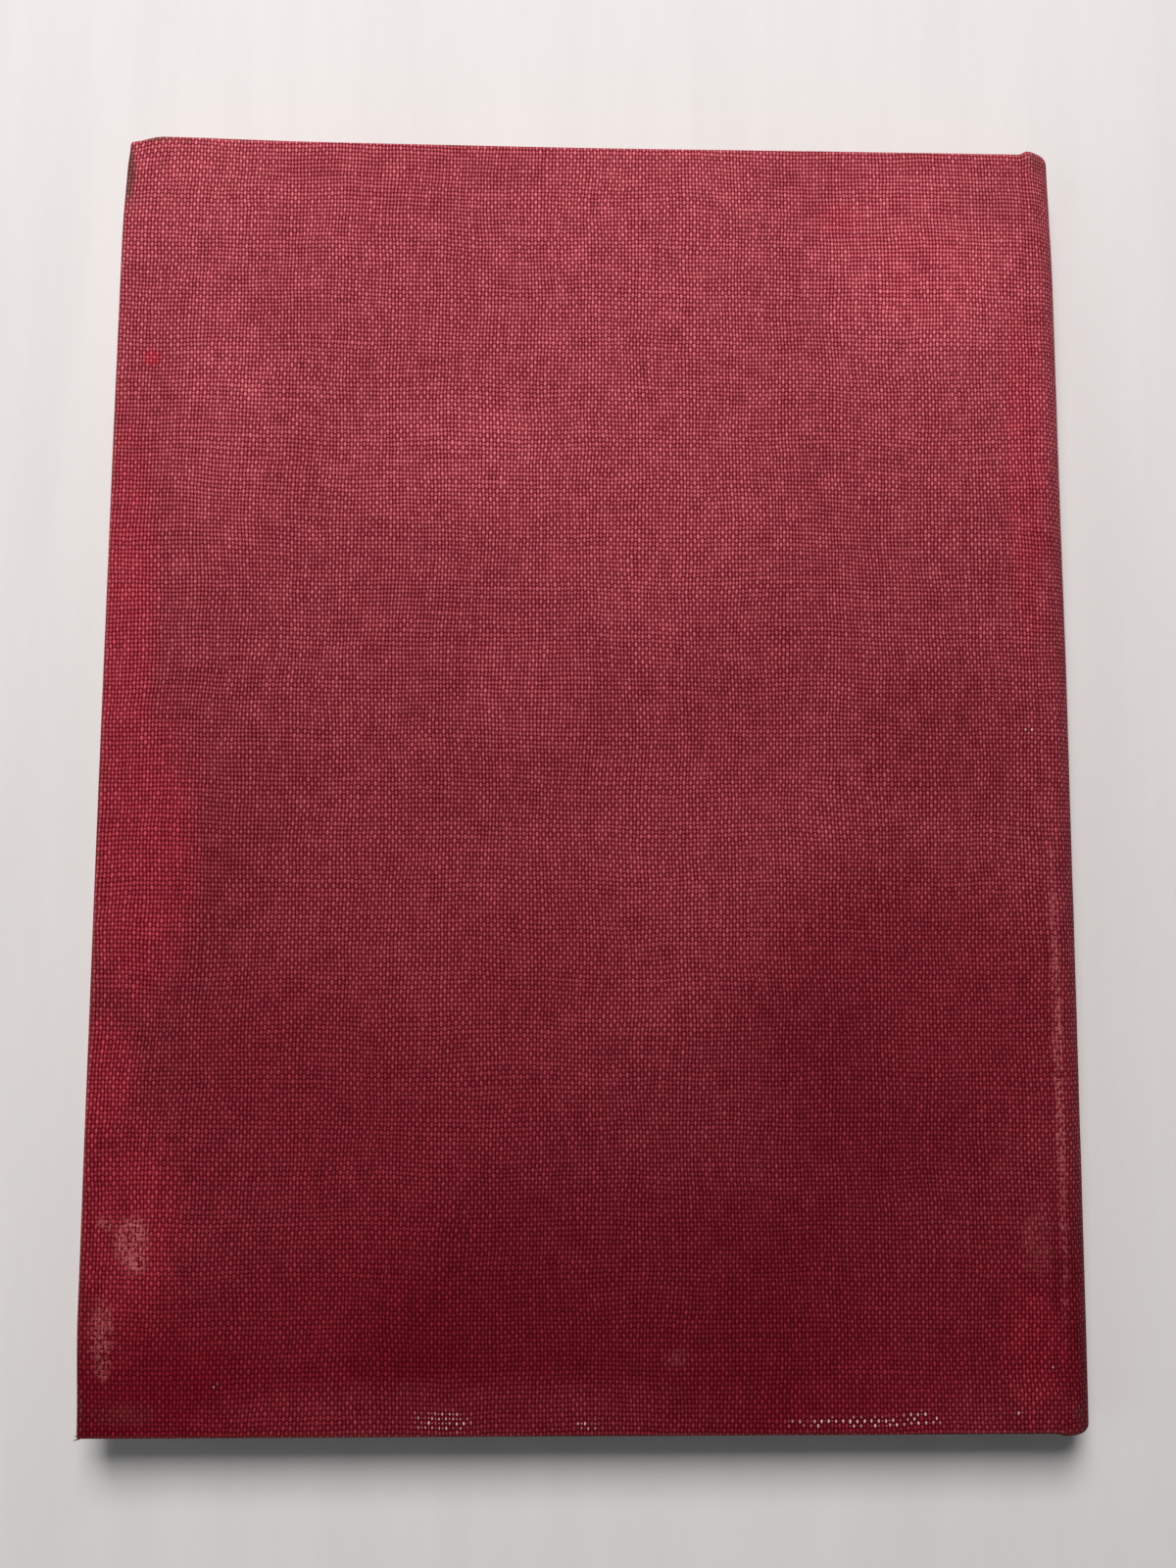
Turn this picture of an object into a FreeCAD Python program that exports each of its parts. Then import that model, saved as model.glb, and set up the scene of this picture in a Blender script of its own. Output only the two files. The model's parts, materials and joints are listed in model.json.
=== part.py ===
import FreeCAD, Part
import math
import os

# Hardback book in plain cloth, closed, lying on its front cover with its back cover up.
# +X points to the spine, +Y to the head and +Z up, in millimetres. The origin lies on the
# surface under the book, below the middle of its outline.

# Boards and covering cloth
BOARD_HEIGHT = 253.1
BOARD_WIDTH = 182.45
BOARD_THICKNESS = 2.0
CLOTH_THICKNESS = 0.45
CLOTH_EDGE_RADIUS = 0.7
CLOTH_CORNER_RADIUS = 1.0
TURN_IN = 15.0

# Leaves and endpapers
LEAVES_THICKNESS = 5.6
ENDPAPER_THICKNESS = 0.15
FORE_SQUARE = 3.5
HEAD_SQUARE = 3.5
TAIL_SQUARE = 3.5
FORE_EDGE_HOLLOW = 1.0
PASTEDOWN_INSET = 3.5

# Joint between each board and the spine
BOARD_TO_HINGE = 1.2
HINGE_TO_SPINE = 1.1
HINGE_PLAY = 0.15
BOARD_TO_SHOULDER = 0.6

# Spine, from its cloth inwards
SPINE_RECESS = 0.2
STRIP_THICKNESS = 0.45
HOLLOW_CLEARANCE = 0.1
LINING_THICKNESS = 0.15
GAUZE_THICKNESS = 0.2
SHOULDER_ANGLE = 75.0
LINING_END_MARGIN = 3.0
GAUZE_TO_TURN_IN = 0.5
GAUZE_FLANGE_WIDTH = 25.0

# Caps: the spine cloth is rolled over a cord at head and tail
HEAD_CAP_RISE = 0.9
TAIL_CAP_RISE = 0.4
CAP_CORNER_RADIUS = 2.2
CORD_RADIUS = 0.65
CORD_CLEARANCE = 0.02

# A corner's rounding leaves the cloth whole while it stays under this many cloth thicknesses.
MAX_ROUNDING = 2.2

# Heights of the stack
cover_thickness = BOARD_THICKNESS + 2 * CLOTH_THICKNESS + ENDPAPER_THICKNESS
book_thickness = 2 * cover_thickness + LEAVES_THICKNESS + 2 * ENDPAPER_THICKNESS
mid_z = book_thickness / 2
leaves_top = mid_z + LEAVES_THICKNESS / 2
board_outer_z = book_thickness - CLOTH_THICKNESS
board_inner_z = board_outer_z - BOARD_THICKNESS
turn_in_z = board_inner_z - CLOTH_THICKNESS

# Places along X, with the whole width centred
spine_radius = mid_z - SPINE_RECESS
book_width = CLOTH_THICKNESS + BOARD_WIDTH + BOARD_TO_HINGE + HINGE_TO_SPINE + spine_radius
fore_x = -book_width / 2
board_fore_x = fore_x + CLOTH_THICKNESS
board_back_x = board_fore_x + BOARD_WIDTH
hinge_x = board_back_x + BOARD_TO_HINGE
cover_end_x = hinge_x - HINGE_PLAY
spine_start_x = hinge_x + HINGE_PLAY
spine_x = hinge_x + HINGE_TO_SPINE
leaves_fore_x = fore_x + FORE_SQUARE
shoulder_x = board_back_x + BOARD_TO_SHOULDER

# Places along Y: the caps rise by different amounts, so the covers sit off the middle
cover_height = BOARD_HEIGHT + 2 * CLOTH_THICKNESS
cover_y = (TAIL_CAP_RISE - HEAD_CAP_RISE) / 2
cover_head_y = cover_y + cover_height / 2
cover_tail_y = cover_y - cover_height / 2
leaves_head_y = cover_head_y - HEAD_SQUARE
leaves_tail_y = cover_tail_y + TAIL_SQUARE
gauze_head_y = cover_head_y - TURN_IN - GAUZE_TO_TURN_IN
gauze_tail_y = cover_tail_y + TURN_IN + GAUZE_TO_TURN_IN

# Radii of the spine's layers
strip_radius = spine_radius - CLOTH_THICKNESS
spine_turn_in_radius = strip_radius - STRIP_THICKNESS
lining_radius = spine_turn_in_radius - CLOTH_THICKNESS - HOLLOW_CLEARANCE
gauze_radius = lining_radius - LINING_THICKNESS
leaves_radius = gauze_radius - GAUZE_THICKNESS

ROW_Y = FreeCAD.Vector(0, 1, 0)
ROW_Z = FreeCAD.Vector(0, 0, 1)


def point(x, y, z):
    return FreeCAD.Vector(x, y, z)


def box(x_range, y_range, z_range):
    """Makes a block from its lowest and highest value on each axis."""
    size = [high - low for low, high in (x_range, y_range, z_range)]
    return Part.makeBox(*size, point(x_range[0], y_range[0], z_range[0]))


def fuse(first, *others):
    return first.fuse(list(others)).removeSplitter()


def cut(shape, *tools):
    return shape.cut(list(tools)).removeSplitter()


def face_of(edges):
    return Part.Face(Part.Wire(Part.__sortEdges__(edges)))


def front_copy(shape):
    """Mirrors a piece of the back cover to the front cover."""
    return shape.mirror(point(0, 0, mid_z), ROW_Z)


def on_spine(radius, angle, y=0.0):
    """A point at a radius and angle about the spine's centre line, the angle counted from +X."""
    turn = math.radians(angle)
    return point(spine_x + radius * math.cos(turn), y, mid_z + radius * math.sin(turn))


def spine_layer(inner, outer, angle, tail_y, head_y):
    """Makes a curved layer of the spine that spans the angle each side of its middle."""
    edges = [
        Part.Arc(on_spine(outer, -angle), on_spine(outer, 0), on_spine(outer, angle)).toShape(),
        Part.makeLine(on_spine(outer, angle), on_spine(inner, angle)),
        Part.Arc(on_spine(inner, angle), on_spine(inner, 0), on_spine(inner, -angle)).toShape(),
        Part.makeLine(on_spine(inner, -angle), on_spine(outer, -angle)),
    ]
    layer = face_of(edges).extrude(ROW_Y * (head_y - tail_y))
    layer.translate(ROW_Y * tail_y)
    return layer


def make_board():
    return box(
        (board_fore_x, board_back_x),
        (cover_tail_y + CLOTH_THICKNESS, cover_head_y - CLOTH_THICKNESS),
        (board_inner_z, board_outer_z),
    )


def is_upright(edge):
    return abs(edge.Vertexes[0].Z - edge.Vertexes[-1].Z) > CLOTH_THICKNESS


def is_free(edge):
    """Says whether an edge of a cover lies clear of the joint's end face."""
    return any(abs(vertex.X - cover_end_x) > HINGE_PLAY for vertex in edge.Vertexes)


def make_cover_cloth():
    """Makes a cover's cloth: its outer face, three wrapped edges and their turn-ins."""
    whole = box((fore_x, cover_end_x), (cover_tail_y, cover_head_y), (turn_in_z, book_thickness))
    corner_radius = min(CLOTH_CORNER_RADIUS, MAX_ROUNDING * CLOTH_THICKNESS)
    edge_radius = min(CLOTH_EDGE_RADIUS, MAX_ROUNDING * CLOTH_THICKNESS)
    upright = [edge for edge in whole.Edges if is_upright(edge) and is_free(edge)]
    whole = whole.makeFillet(corner_radius, upright)
    level = [edge for edge in whole.Edges if not is_upright(edge) and is_free(edge)]
    whole = whole.makeFillet(edge_radius, level)
    under_folds = box(
        (board_back_x, cover_end_x),
        (cover_tail_y, cover_head_y),
        (turn_in_z, board_outer_z - CLOTH_THICKNESS),
    )
    between_folds = box(
        (board_back_x, cover_end_x),
        (cover_tail_y + TURN_IN, cover_head_y - TURN_IN),
        (turn_in_z, board_outer_z),
    )
    window = box(
        (fore_x + TURN_IN, board_back_x),
        (cover_tail_y + TURN_IN, cover_head_y - TURN_IN),
        (turn_in_z, board_inner_z),
    )
    return cut(whole, make_board(), under_folds, between_folds, window)


def gauze_flange_range():
    """The range on X, Y and Z of the gauze that is glued to a board."""
    return (
        (board_back_x - GAUZE_FLANGE_WIDTH, board_back_x),
        (gauze_tail_y, gauze_head_y),
        (board_inner_z - GAUZE_THICKNESS, board_inner_z),
    )


def make_pastedown():
    """Makes a pastedown: a sheet of even thickness that steps over the turn-ins and the gauze."""
    sheet_x = (fore_x + PASTEDOWN_INSET, board_back_x)
    sheet_y = (cover_tail_y + PASTEDOWN_INSET, cover_head_y - PASTEDOWN_INSET)
    turn_in_depth = (turn_in_z, board_inner_z)
    under = [
        (sheet_x, (sheet_y[0], cover_tail_y + TURN_IN), turn_in_depth),
        (sheet_x, (cover_head_y - TURN_IN, sheet_y[1]), turn_in_depth),
        ((sheet_x[0], fore_x + TURN_IN), sheet_y, turn_in_depth),
        gauze_flange_range(),
    ]
    over = [
        box(
            (xs[0] - ENDPAPER_THICKNESS, xs[1] + ENDPAPER_THICKNESS),
            (ys[0] - ENDPAPER_THICKNESS, ys[1] + ENDPAPER_THICKNESS),
            (zs[0] - ENDPAPER_THICKNESS, board_inner_z),
        )
        for xs, ys, zs in under
    ]
    field = box(sheet_x, sheet_y, (board_inner_z - ENDPAPER_THICKNESS, board_inner_z))
    whole = fuse(field, *over)
    trimmed = whole.common(
        box(sheet_x, sheet_y, (turn_in_z - ENDPAPER_THICKNESS, board_inner_z))
    )
    return cut(trimmed, *[box(*ranges) for ranges in under])


def make_leaves():
    """Makes the text block: hollow fore edge, flat sides, shoulders and a rounded back."""
    low = 2 * mid_z - leaves_top
    fore_top = point(leaves_fore_x, leaves_tail_y, leaves_top)
    fore_low = point(leaves_fore_x, leaves_tail_y, low)
    fore_mid = point(leaves_fore_x + FORE_EDGE_HOLLOW, leaves_tail_y, mid_z)
    shoulder_top = point(shoulder_x, leaves_tail_y, leaves_top)
    shoulder_low = point(shoulder_x, leaves_tail_y, low)
    tip_top = on_spine(leaves_radius, SHOULDER_ANGLE, leaves_tail_y)
    tip_low = on_spine(leaves_radius, -SHOULDER_ANGLE, leaves_tail_y)
    back_mid = on_spine(leaves_radius, 0, leaves_tail_y)
    outline = [
        Part.Arc(fore_low, fore_mid, fore_top).toShape(),
        Part.makeLine(fore_top, shoulder_top),
        Part.makeLine(shoulder_top, tip_top),
        Part.Arc(tip_top, back_mid, tip_low).toShape(),
        Part.makeLine(tip_low, shoulder_low),
        Part.makeLine(shoulder_low, fore_low),
    ]
    return face_of(outline).extrude(ROW_Y * (leaves_head_y - leaves_tail_y))


def make_flyleaf():
    return box(
        (leaves_fore_x, shoulder_x),
        (leaves_tail_y, leaves_head_y),
        (leaves_top, leaves_top + ENDPAPER_THICKNESS),
    )


def cap_end(side):
    """The outermost Y of a cap; side is 1 at the head and -1 at the tail."""
    return cover_head_y + HEAD_CAP_RISE if side > 0 else cover_tail_y - TAIL_CAP_RISE


def cap_point(side, radius, depth):
    """A point of a cap's section, at a radius and at a depth below the cap's outermost Y."""
    return point(spine_x, cap_end(side) - side * depth, mid_z + radius)


def cap_section(side):
    """Edges of one cap's section, from the outer cloth to the end of the turn-in and back."""
    lip_radius = CORD_RADIUS + CLOTH_THICKNESS
    lip_centre = spine_radius - CAP_CORNER_RADIUS
    turn_in_inner = spine_turn_in_radius - CLOTH_THICKNESS
    slope = math.sqrt(0.5)
    edges = []
    for layer in (0, CLOTH_THICKNESS):
        corner = CAP_CORNER_RADIUS - layer
        lip = lip_radius - layer
        turned = turn_in_inner + layer
        top = cap_point(side, lip_centre, layer)
        bottom = cap_point(side, lip_centre, 2 * lip_radius - layer)
        landing_depth = 2 * lip_radius - layer + turned - lip_centre
        landing = cap_point(side, turned, landing_depth)
        start = cap_point(side, spine_radius - layer, CAP_CORNER_RADIUS)
        over = cap_point(
            side, lip_centre + corner * slope, CAP_CORNER_RADIUS - corner * slope
        )
        under = cap_point(side, lip_centre - lip, lip_radius)
        end = point(spine_x, turn_in_end(side), mid_z + turned)
        edges += [
            Part.Arc(start, over, top).toShape(),
            Part.Arc(top, under, bottom).toShape(),
            Part.makeLine(bottom, landing),
            Part.makeLine(landing, end),
        ]
    inner = point(spine_x, turn_in_end(side), mid_z + turn_in_inner)
    outer = point(spine_x, turn_in_end(side), mid_z + spine_turn_in_radius)
    edges.append(Part.makeLine(inner, outer))
    return edges


def turn_in_end(side):
    """The Y where the spine cloth's turn-in ends inside the spine."""
    return cover_head_y - TURN_IN if side > 0 else cover_tail_y + TURN_IN


def turned_about_spine(face):
    """Turns a section at the top of the spine round to its bottom."""
    return face.revolve(point(spine_x, 0, mid_z), ROW_Y, 180)


def make_spine_cloth():
    """Makes the spine's cloth with its caps, and the narrow tongues beside the hinges."""
    edges = cap_section(1) + cap_section(-1)
    for radius in (spine_radius, strip_radius):
        edges.append(
            Part.makeLine(
                cap_point(-1, radius, CAP_CORNER_RADIUS), cap_point(1, radius, CAP_CORNER_RADIUS)
            )
        )
    roll = turned_about_spine(face_of(edges))
    tongue = box(
        (spine_start_x, spine_x),
        (cover_tail_y, cover_head_y),
        (mid_z + strip_radius, mid_z + spine_radius),
    )
    return fuse(roll, tongue, front_copy(tongue))


def make_spine_strip():
    tail_y = cap_end(-1) + CAP_CORNER_RADIUS
    head_y = cap_end(1) - CAP_CORNER_RADIUS
    return spine_layer(spine_turn_in_radius, strip_radius, 90, tail_y, head_y)


def make_lining():
    return spine_layer(
        gauze_radius,
        lining_radius,
        SHOULDER_ANGLE,
        leaves_tail_y + LINING_END_MARGIN,
        leaves_head_y - LINING_END_MARGIN,
    )


def make_gauze():
    return spine_layer(leaves_radius, gauze_radius, SHOULDER_ANGLE, gauze_tail_y, gauze_head_y)


def make_cap_cord(side):
    centre = cap_point(side, spine_radius - CAP_CORNER_RADIUS, CORD_RADIUS + CLOTH_THICKNESS)
    circle = Part.makeCircle(CORD_RADIUS - CORD_CLEARANCE, centre, point(1, 0, 0))
    return turned_about_spine(Part.Face(Part.Wire([circle])))


def make_pieces():
    """Makes every piece of the book, by its name."""
    cover = {
        "board": make_board(),
        "cover_cloth": make_cover_cloth(),
        "gauze_flange": box(*gauze_flange_range()),
        "pastedown": make_pastedown(),
        "flyleaf": make_flyleaf(),
    }
    pieces = {"back_" + name: shape for name, shape in cover.items()}
    pieces.update({"front_" + name: front_copy(shape) for name, shape in cover.items()})
    pieces["text_block"] = make_leaves()
    pieces["spine_gauze"] = make_gauze()
    pieces["spine_lining"] = make_lining()
    pieces["spine_strip"] = make_spine_strip()
    pieces["spine_cloth"] = make_spine_cloth()
    pieces["head_cap_cord"] = make_cap_cord(1)
    pieces["tail_cap_cord"] = make_cap_cord(-1)
    return pieces


os.makedirs("parts", exist_ok=True)
for name, shape in make_pieces().items():
    if len(shape.Solids) != 1 or not shape.isValid():
        raise SystemExit(f"{name} is not one valid solid")
    shape.Solids[0].exportStep(os.path.join("parts", name + ".step"))
    print(f"{name}: {shape.Volume / 1000:.3f} cm3")
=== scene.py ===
"""Looks of a hardback book bound in coarse red cloth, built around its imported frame.

The book lies closed on its front cover. +X points to the spine, +Y to the head and +Z up. Sizes
are in metres and come from the frame where the frame holds them.
"""

import json
import logging
import math
import random
from dataclasses import dataclass
from enum import Enum
from typing import Callable, Iterable, NamedTuple, Sequence

import bmesh
import bpy
from mathutils import Matrix, Vector, noise


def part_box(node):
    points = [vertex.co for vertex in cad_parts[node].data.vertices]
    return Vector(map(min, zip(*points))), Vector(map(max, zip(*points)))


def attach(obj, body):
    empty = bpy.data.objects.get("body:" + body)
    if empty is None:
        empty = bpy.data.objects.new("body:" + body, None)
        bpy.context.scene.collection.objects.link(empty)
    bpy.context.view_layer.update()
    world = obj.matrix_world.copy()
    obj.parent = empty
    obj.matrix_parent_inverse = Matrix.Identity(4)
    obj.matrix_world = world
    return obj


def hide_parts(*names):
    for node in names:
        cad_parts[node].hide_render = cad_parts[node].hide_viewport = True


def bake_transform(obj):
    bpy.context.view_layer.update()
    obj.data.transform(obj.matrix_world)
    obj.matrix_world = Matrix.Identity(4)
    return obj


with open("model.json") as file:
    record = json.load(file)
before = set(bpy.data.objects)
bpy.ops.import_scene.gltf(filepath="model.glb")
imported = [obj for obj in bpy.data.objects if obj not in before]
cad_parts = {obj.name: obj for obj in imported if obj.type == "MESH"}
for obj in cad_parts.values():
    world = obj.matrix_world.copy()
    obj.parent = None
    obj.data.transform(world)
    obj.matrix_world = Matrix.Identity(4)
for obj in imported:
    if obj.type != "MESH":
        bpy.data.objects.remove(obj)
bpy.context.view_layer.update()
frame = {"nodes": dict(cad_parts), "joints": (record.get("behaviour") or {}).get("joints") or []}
MM = 0.001
SPINE_BODY = "text_and_spine"
TURN_IN = 15.0 * MM
LOG = logging.getLogger("book")

Triple = tuple[float, float, float]
Colour = Triple
Mesh = bmesh.types.BMesh
Point = bmesh.types.BMVert
Edge = bmesh.types.BMEdge
Material = bpy.types.Material
Piece = bpy.types.Object
Tree = bpy.types.NodeTree


class Side(Enum):
    """The two covers: the back cover lies uppermost."""

    BACK = "back"
    FRONT = "front"

    @property
    def body(self) -> str:
        """Name of the moving body that the cover's pieces ride on."""
        return f"{self.value}_cover"

    @property
    def bend_share(self) -> float:
        """Share of the joint that a bend would take, which the joint pieces read.

        The front cover opens past a half turn, where a wide bend would go round the wrong side of its hinge,
        so its share is only a sliver.

        Returns:
            The share, 1 for the whole joint.
        """
        return 1.0 if self is Side.BACK else 0.1


@dataclass(frozen=True)
class BookSizes:
    """Places of the book's parts in the frame, in metres."""

    fore_x: float
    board_end_x: float
    spine_x: float
    ridge_x: float
    leaves_fore_x: float
    leaves_end_x: float
    head_y: float
    tail_y: float
    head_cap_y: float
    tail_cap_y: float
    leaves_head_y: float
    leaves_tail_y: float
    top_z: float
    turn_in_z: float
    board_z: float
    leaves_z: float
    flyleaf_z: float
    spine_top_z: float
    hinge_x: float

    @classmethod
    def from_frame(cls) -> "BookSizes":
        """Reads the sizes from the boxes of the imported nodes.

        Returns:
            The places of the book's parts.
        """
        cloth_low, cloth_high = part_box("back_cover_cloth")
        spine_low, spine_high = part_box("spine_cloth")
        leaves_low, leaves_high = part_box("text_block")
        fly_low, fly_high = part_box("back_flyleaf")
        board_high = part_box("back_board")[1]
        hinge = next(j for j in frame["joints"] if j["child"] == Side.BACK.body)
        return cls(
            fore_x=cloth_low.x,
            board_end_x=board_high.x,
            spine_x=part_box("spine_strip")[0].x,
            ridge_x=spine_high.x,
            leaves_fore_x=fly_low.x,
            leaves_end_x=fly_high.x,
            head_y=cloth_high.y,
            tail_y=cloth_low.y,
            head_cap_y=spine_high.y,
            tail_cap_y=spine_low.y,
            leaves_head_y=leaves_high.y,
            leaves_tail_y=leaves_low.y,
            top_z=cloth_high.z,
            turn_in_z=cloth_low.z,
            board_z=board_high.z,
            leaves_z=fly_low.z,
            flyleaf_z=fly_high.z,
            spine_top_z=spine_high.z,
            hinge_x=hinge["pos_m"][0],
        )

    @property
    def mid_z(self) -> float:
        """Height of the middle of the closed book."""
        return self.top_z / 2

    @property
    def mid_y(self) -> float:
        """Middle of the covers along the spine."""
        return (self.head_y + self.tail_y) / 2

    @property
    def half_length(self) -> float:
        """Half of a cover's length along the spine."""
        return (self.head_y - self.tail_y) / 2

    @property
    def cloth(self) -> float:
        """Thickness of the covering cloth."""
        return self.top_z - self.board_z

    @property
    def cover_depth(self) -> float:
        """Depth of a cover, from its outer face to its turned-in cloth."""
        return self.top_z - self.turn_in_z

    @property
    def spine_radius(self) -> float:
        """Outer radius of the rounded spine."""
        return self.ridge_x - self.spine_x


def smooth(value: float) -> float:
    """Eases a value from 0 to 1 with level ends, holding it outside them."""
    held = min(1.0, max(0.0, value))
    return held * held * (3 - 2 * held)


def steps(low: float, high: float, pitch: float) -> list[float]:
    """Divides a length evenly.

    Args:
        low: where it starts.
        high: where it ends.
        pitch: the longest step.

    Returns:
        The places between the ends, both ends left out.
    """
    count = max(1, math.ceil((high - low) / pitch))
    return [low + (high - low) * k / count for k in range(1, count)]


def add_block(bm: Mesh, low: Vector, high: Vector) -> list[Point]:
    """Adds a block to a mesh.

    Args:
        bm: the mesh.
        low: the block's lowest corner.
        high: its highest corner.

    Returns:
        The block's corners.
    """
    place = Matrix.Translation((low + high) / 2) @ Matrix.Diagonal((*(high - low), 1.0))
    return bmesh.ops.create_cube(bm, size=1.0, matrix=place)["verts"]


def cut_grid(bm: Mesh, axis: int, places: Iterable[float]) -> None:
    """Cuts a mesh across one axis at several places, for points that can be moved.

    Args:
        bm: the mesh.
        axis: 0, 1 or 2 for X, Y or Z.
        places: where the cuts lie on that axis.
    """
    normal = Vector((0.0, 0.0, 0.0))
    normal[axis] = 1.0
    for place in places:
        everything = bm.verts[:] + bm.edges[:] + bm.faces[:]
        bmesh.ops.bisect_plane(bm, geom=everything, dist=1e-7, plane_co=normal * place, plane_no=normal)


def mirror_to_front(bm: Mesh, mid_z: float) -> None:
    """Turns a mesh made for the back cover into its twin on the front cover.

    Args:
        bm: the mesh.
        mid_z: height of the middle of the book.
    """
    flip = Matrix.Translation((0, 0, 2 * mid_z)) @ Matrix.Diagonal((1, 1, -1, 1))
    bmesh.ops.transform(bm, matrix=flip, verts=bm.verts[:])
    bmesh.ops.reverse_faces(bm, faces=bm.faces[:])


def store_cloth_map(bm: Mesh, unroll: Callable[[Point, Vector], tuple[float, float]]) -> None:
    """Stores where each face corner lies on the flat cloth, in metres.

    Args:
        bm: the mesh, before its wear.
        unroll: gives the flat place from a point and its face's normal.
    """
    layer = bm.loops.layers.uv.new("cloth")
    bm.normal_update()
    for face in bm.faces:
        for loop in face.loops:
            loop[layer].uv = unroll(loop.vert, face.normal)


def make_object(bm: Mesh, name: str, material: Material, sharp_deg: float = 40.0) -> Piece:
    """Makes an object of a finished mesh and frees the mesh.

    Args:
        bm: the finished mesh, in its place in the frame.
        name: the piece's name.
        material: its finish.
        sharp_deg: edges that turn more than this stay sharp.

    Returns:
        The object, linked to the scene at the origin.
    """
    for face in bm.faces:
        face.smooth = True
    mesh = bpy.data.meshes.new(name)
    bm.to_mesh(mesh)
    open_edges = [edge.index for edge in bm.edges if edge.is_boundary]
    bm.free()
    mesh.set_sharp_from_angle(angle=math.radians(sharp_deg))
    for index in open_edges:
        mesh.edges[index].use_edge_sharp = True
    mesh.materials.append(material)
    made = bpy.data.objects.new(name, mesh)
    bpy.context.scene.collection.objects.link(made)
    return made


def thicken(piece: Piece, thickness: float, offset: float = -1.0, even: bool = True) -> None:
    """Gives a skin its thickness.

    Args:
        piece: the skin.
        thickness: how thick it gets.
        offset: -1 grows it inwards from its outer face and 0 to both sides.
        even: keeps the thickness the same round bends, which a skin that folds shut can't have.
    """
    solid = piece.modifiers.new("thickness", "SOLIDIFY")
    solid.thickness = thickness
    solid.offset = offset
    solid.use_even_offset = even


def report(piece: Piece) -> None:
    """Logs a piece's name and size."""
    LOG.info("%s: %d points, %d faces", piece.name, len(piece.data.vertices), len(piece.data.polygons))


class Value:
    """A result inside a node tree, on which arithmetic adds Math nodes."""

    def __init__(self, n: "NodeBuilder", socket: bpy.types.NodeSocket) -> None:
        """Keeps the tree's builder and the socket that carries the result."""
        self.n = n
        self.socket = socket

    def __add__(self, other: "Source") -> "Value":
        """Adds."""
        return self.n.math("ADD", self, other)

    def __sub__(self, other: "Source") -> "Value":
        """Subtracts."""
        return self.n.math("SUBTRACT", self, other)

    def __rsub__(self, other: float) -> "Value":
        """Subtracts from a plain number."""
        return self.n.math("SUBTRACT", other, self)

    def __mul__(self, other: "Source") -> "Value":
        """Multiplies."""
        return self.n.math("MULTIPLY", self, other)

    def __truediv__(self, other: "Source") -> "Value":
        """Divides."""
        return self.n.math("DIVIDE", self, other)


Source = Value | float | tuple[float, ...]


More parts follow.
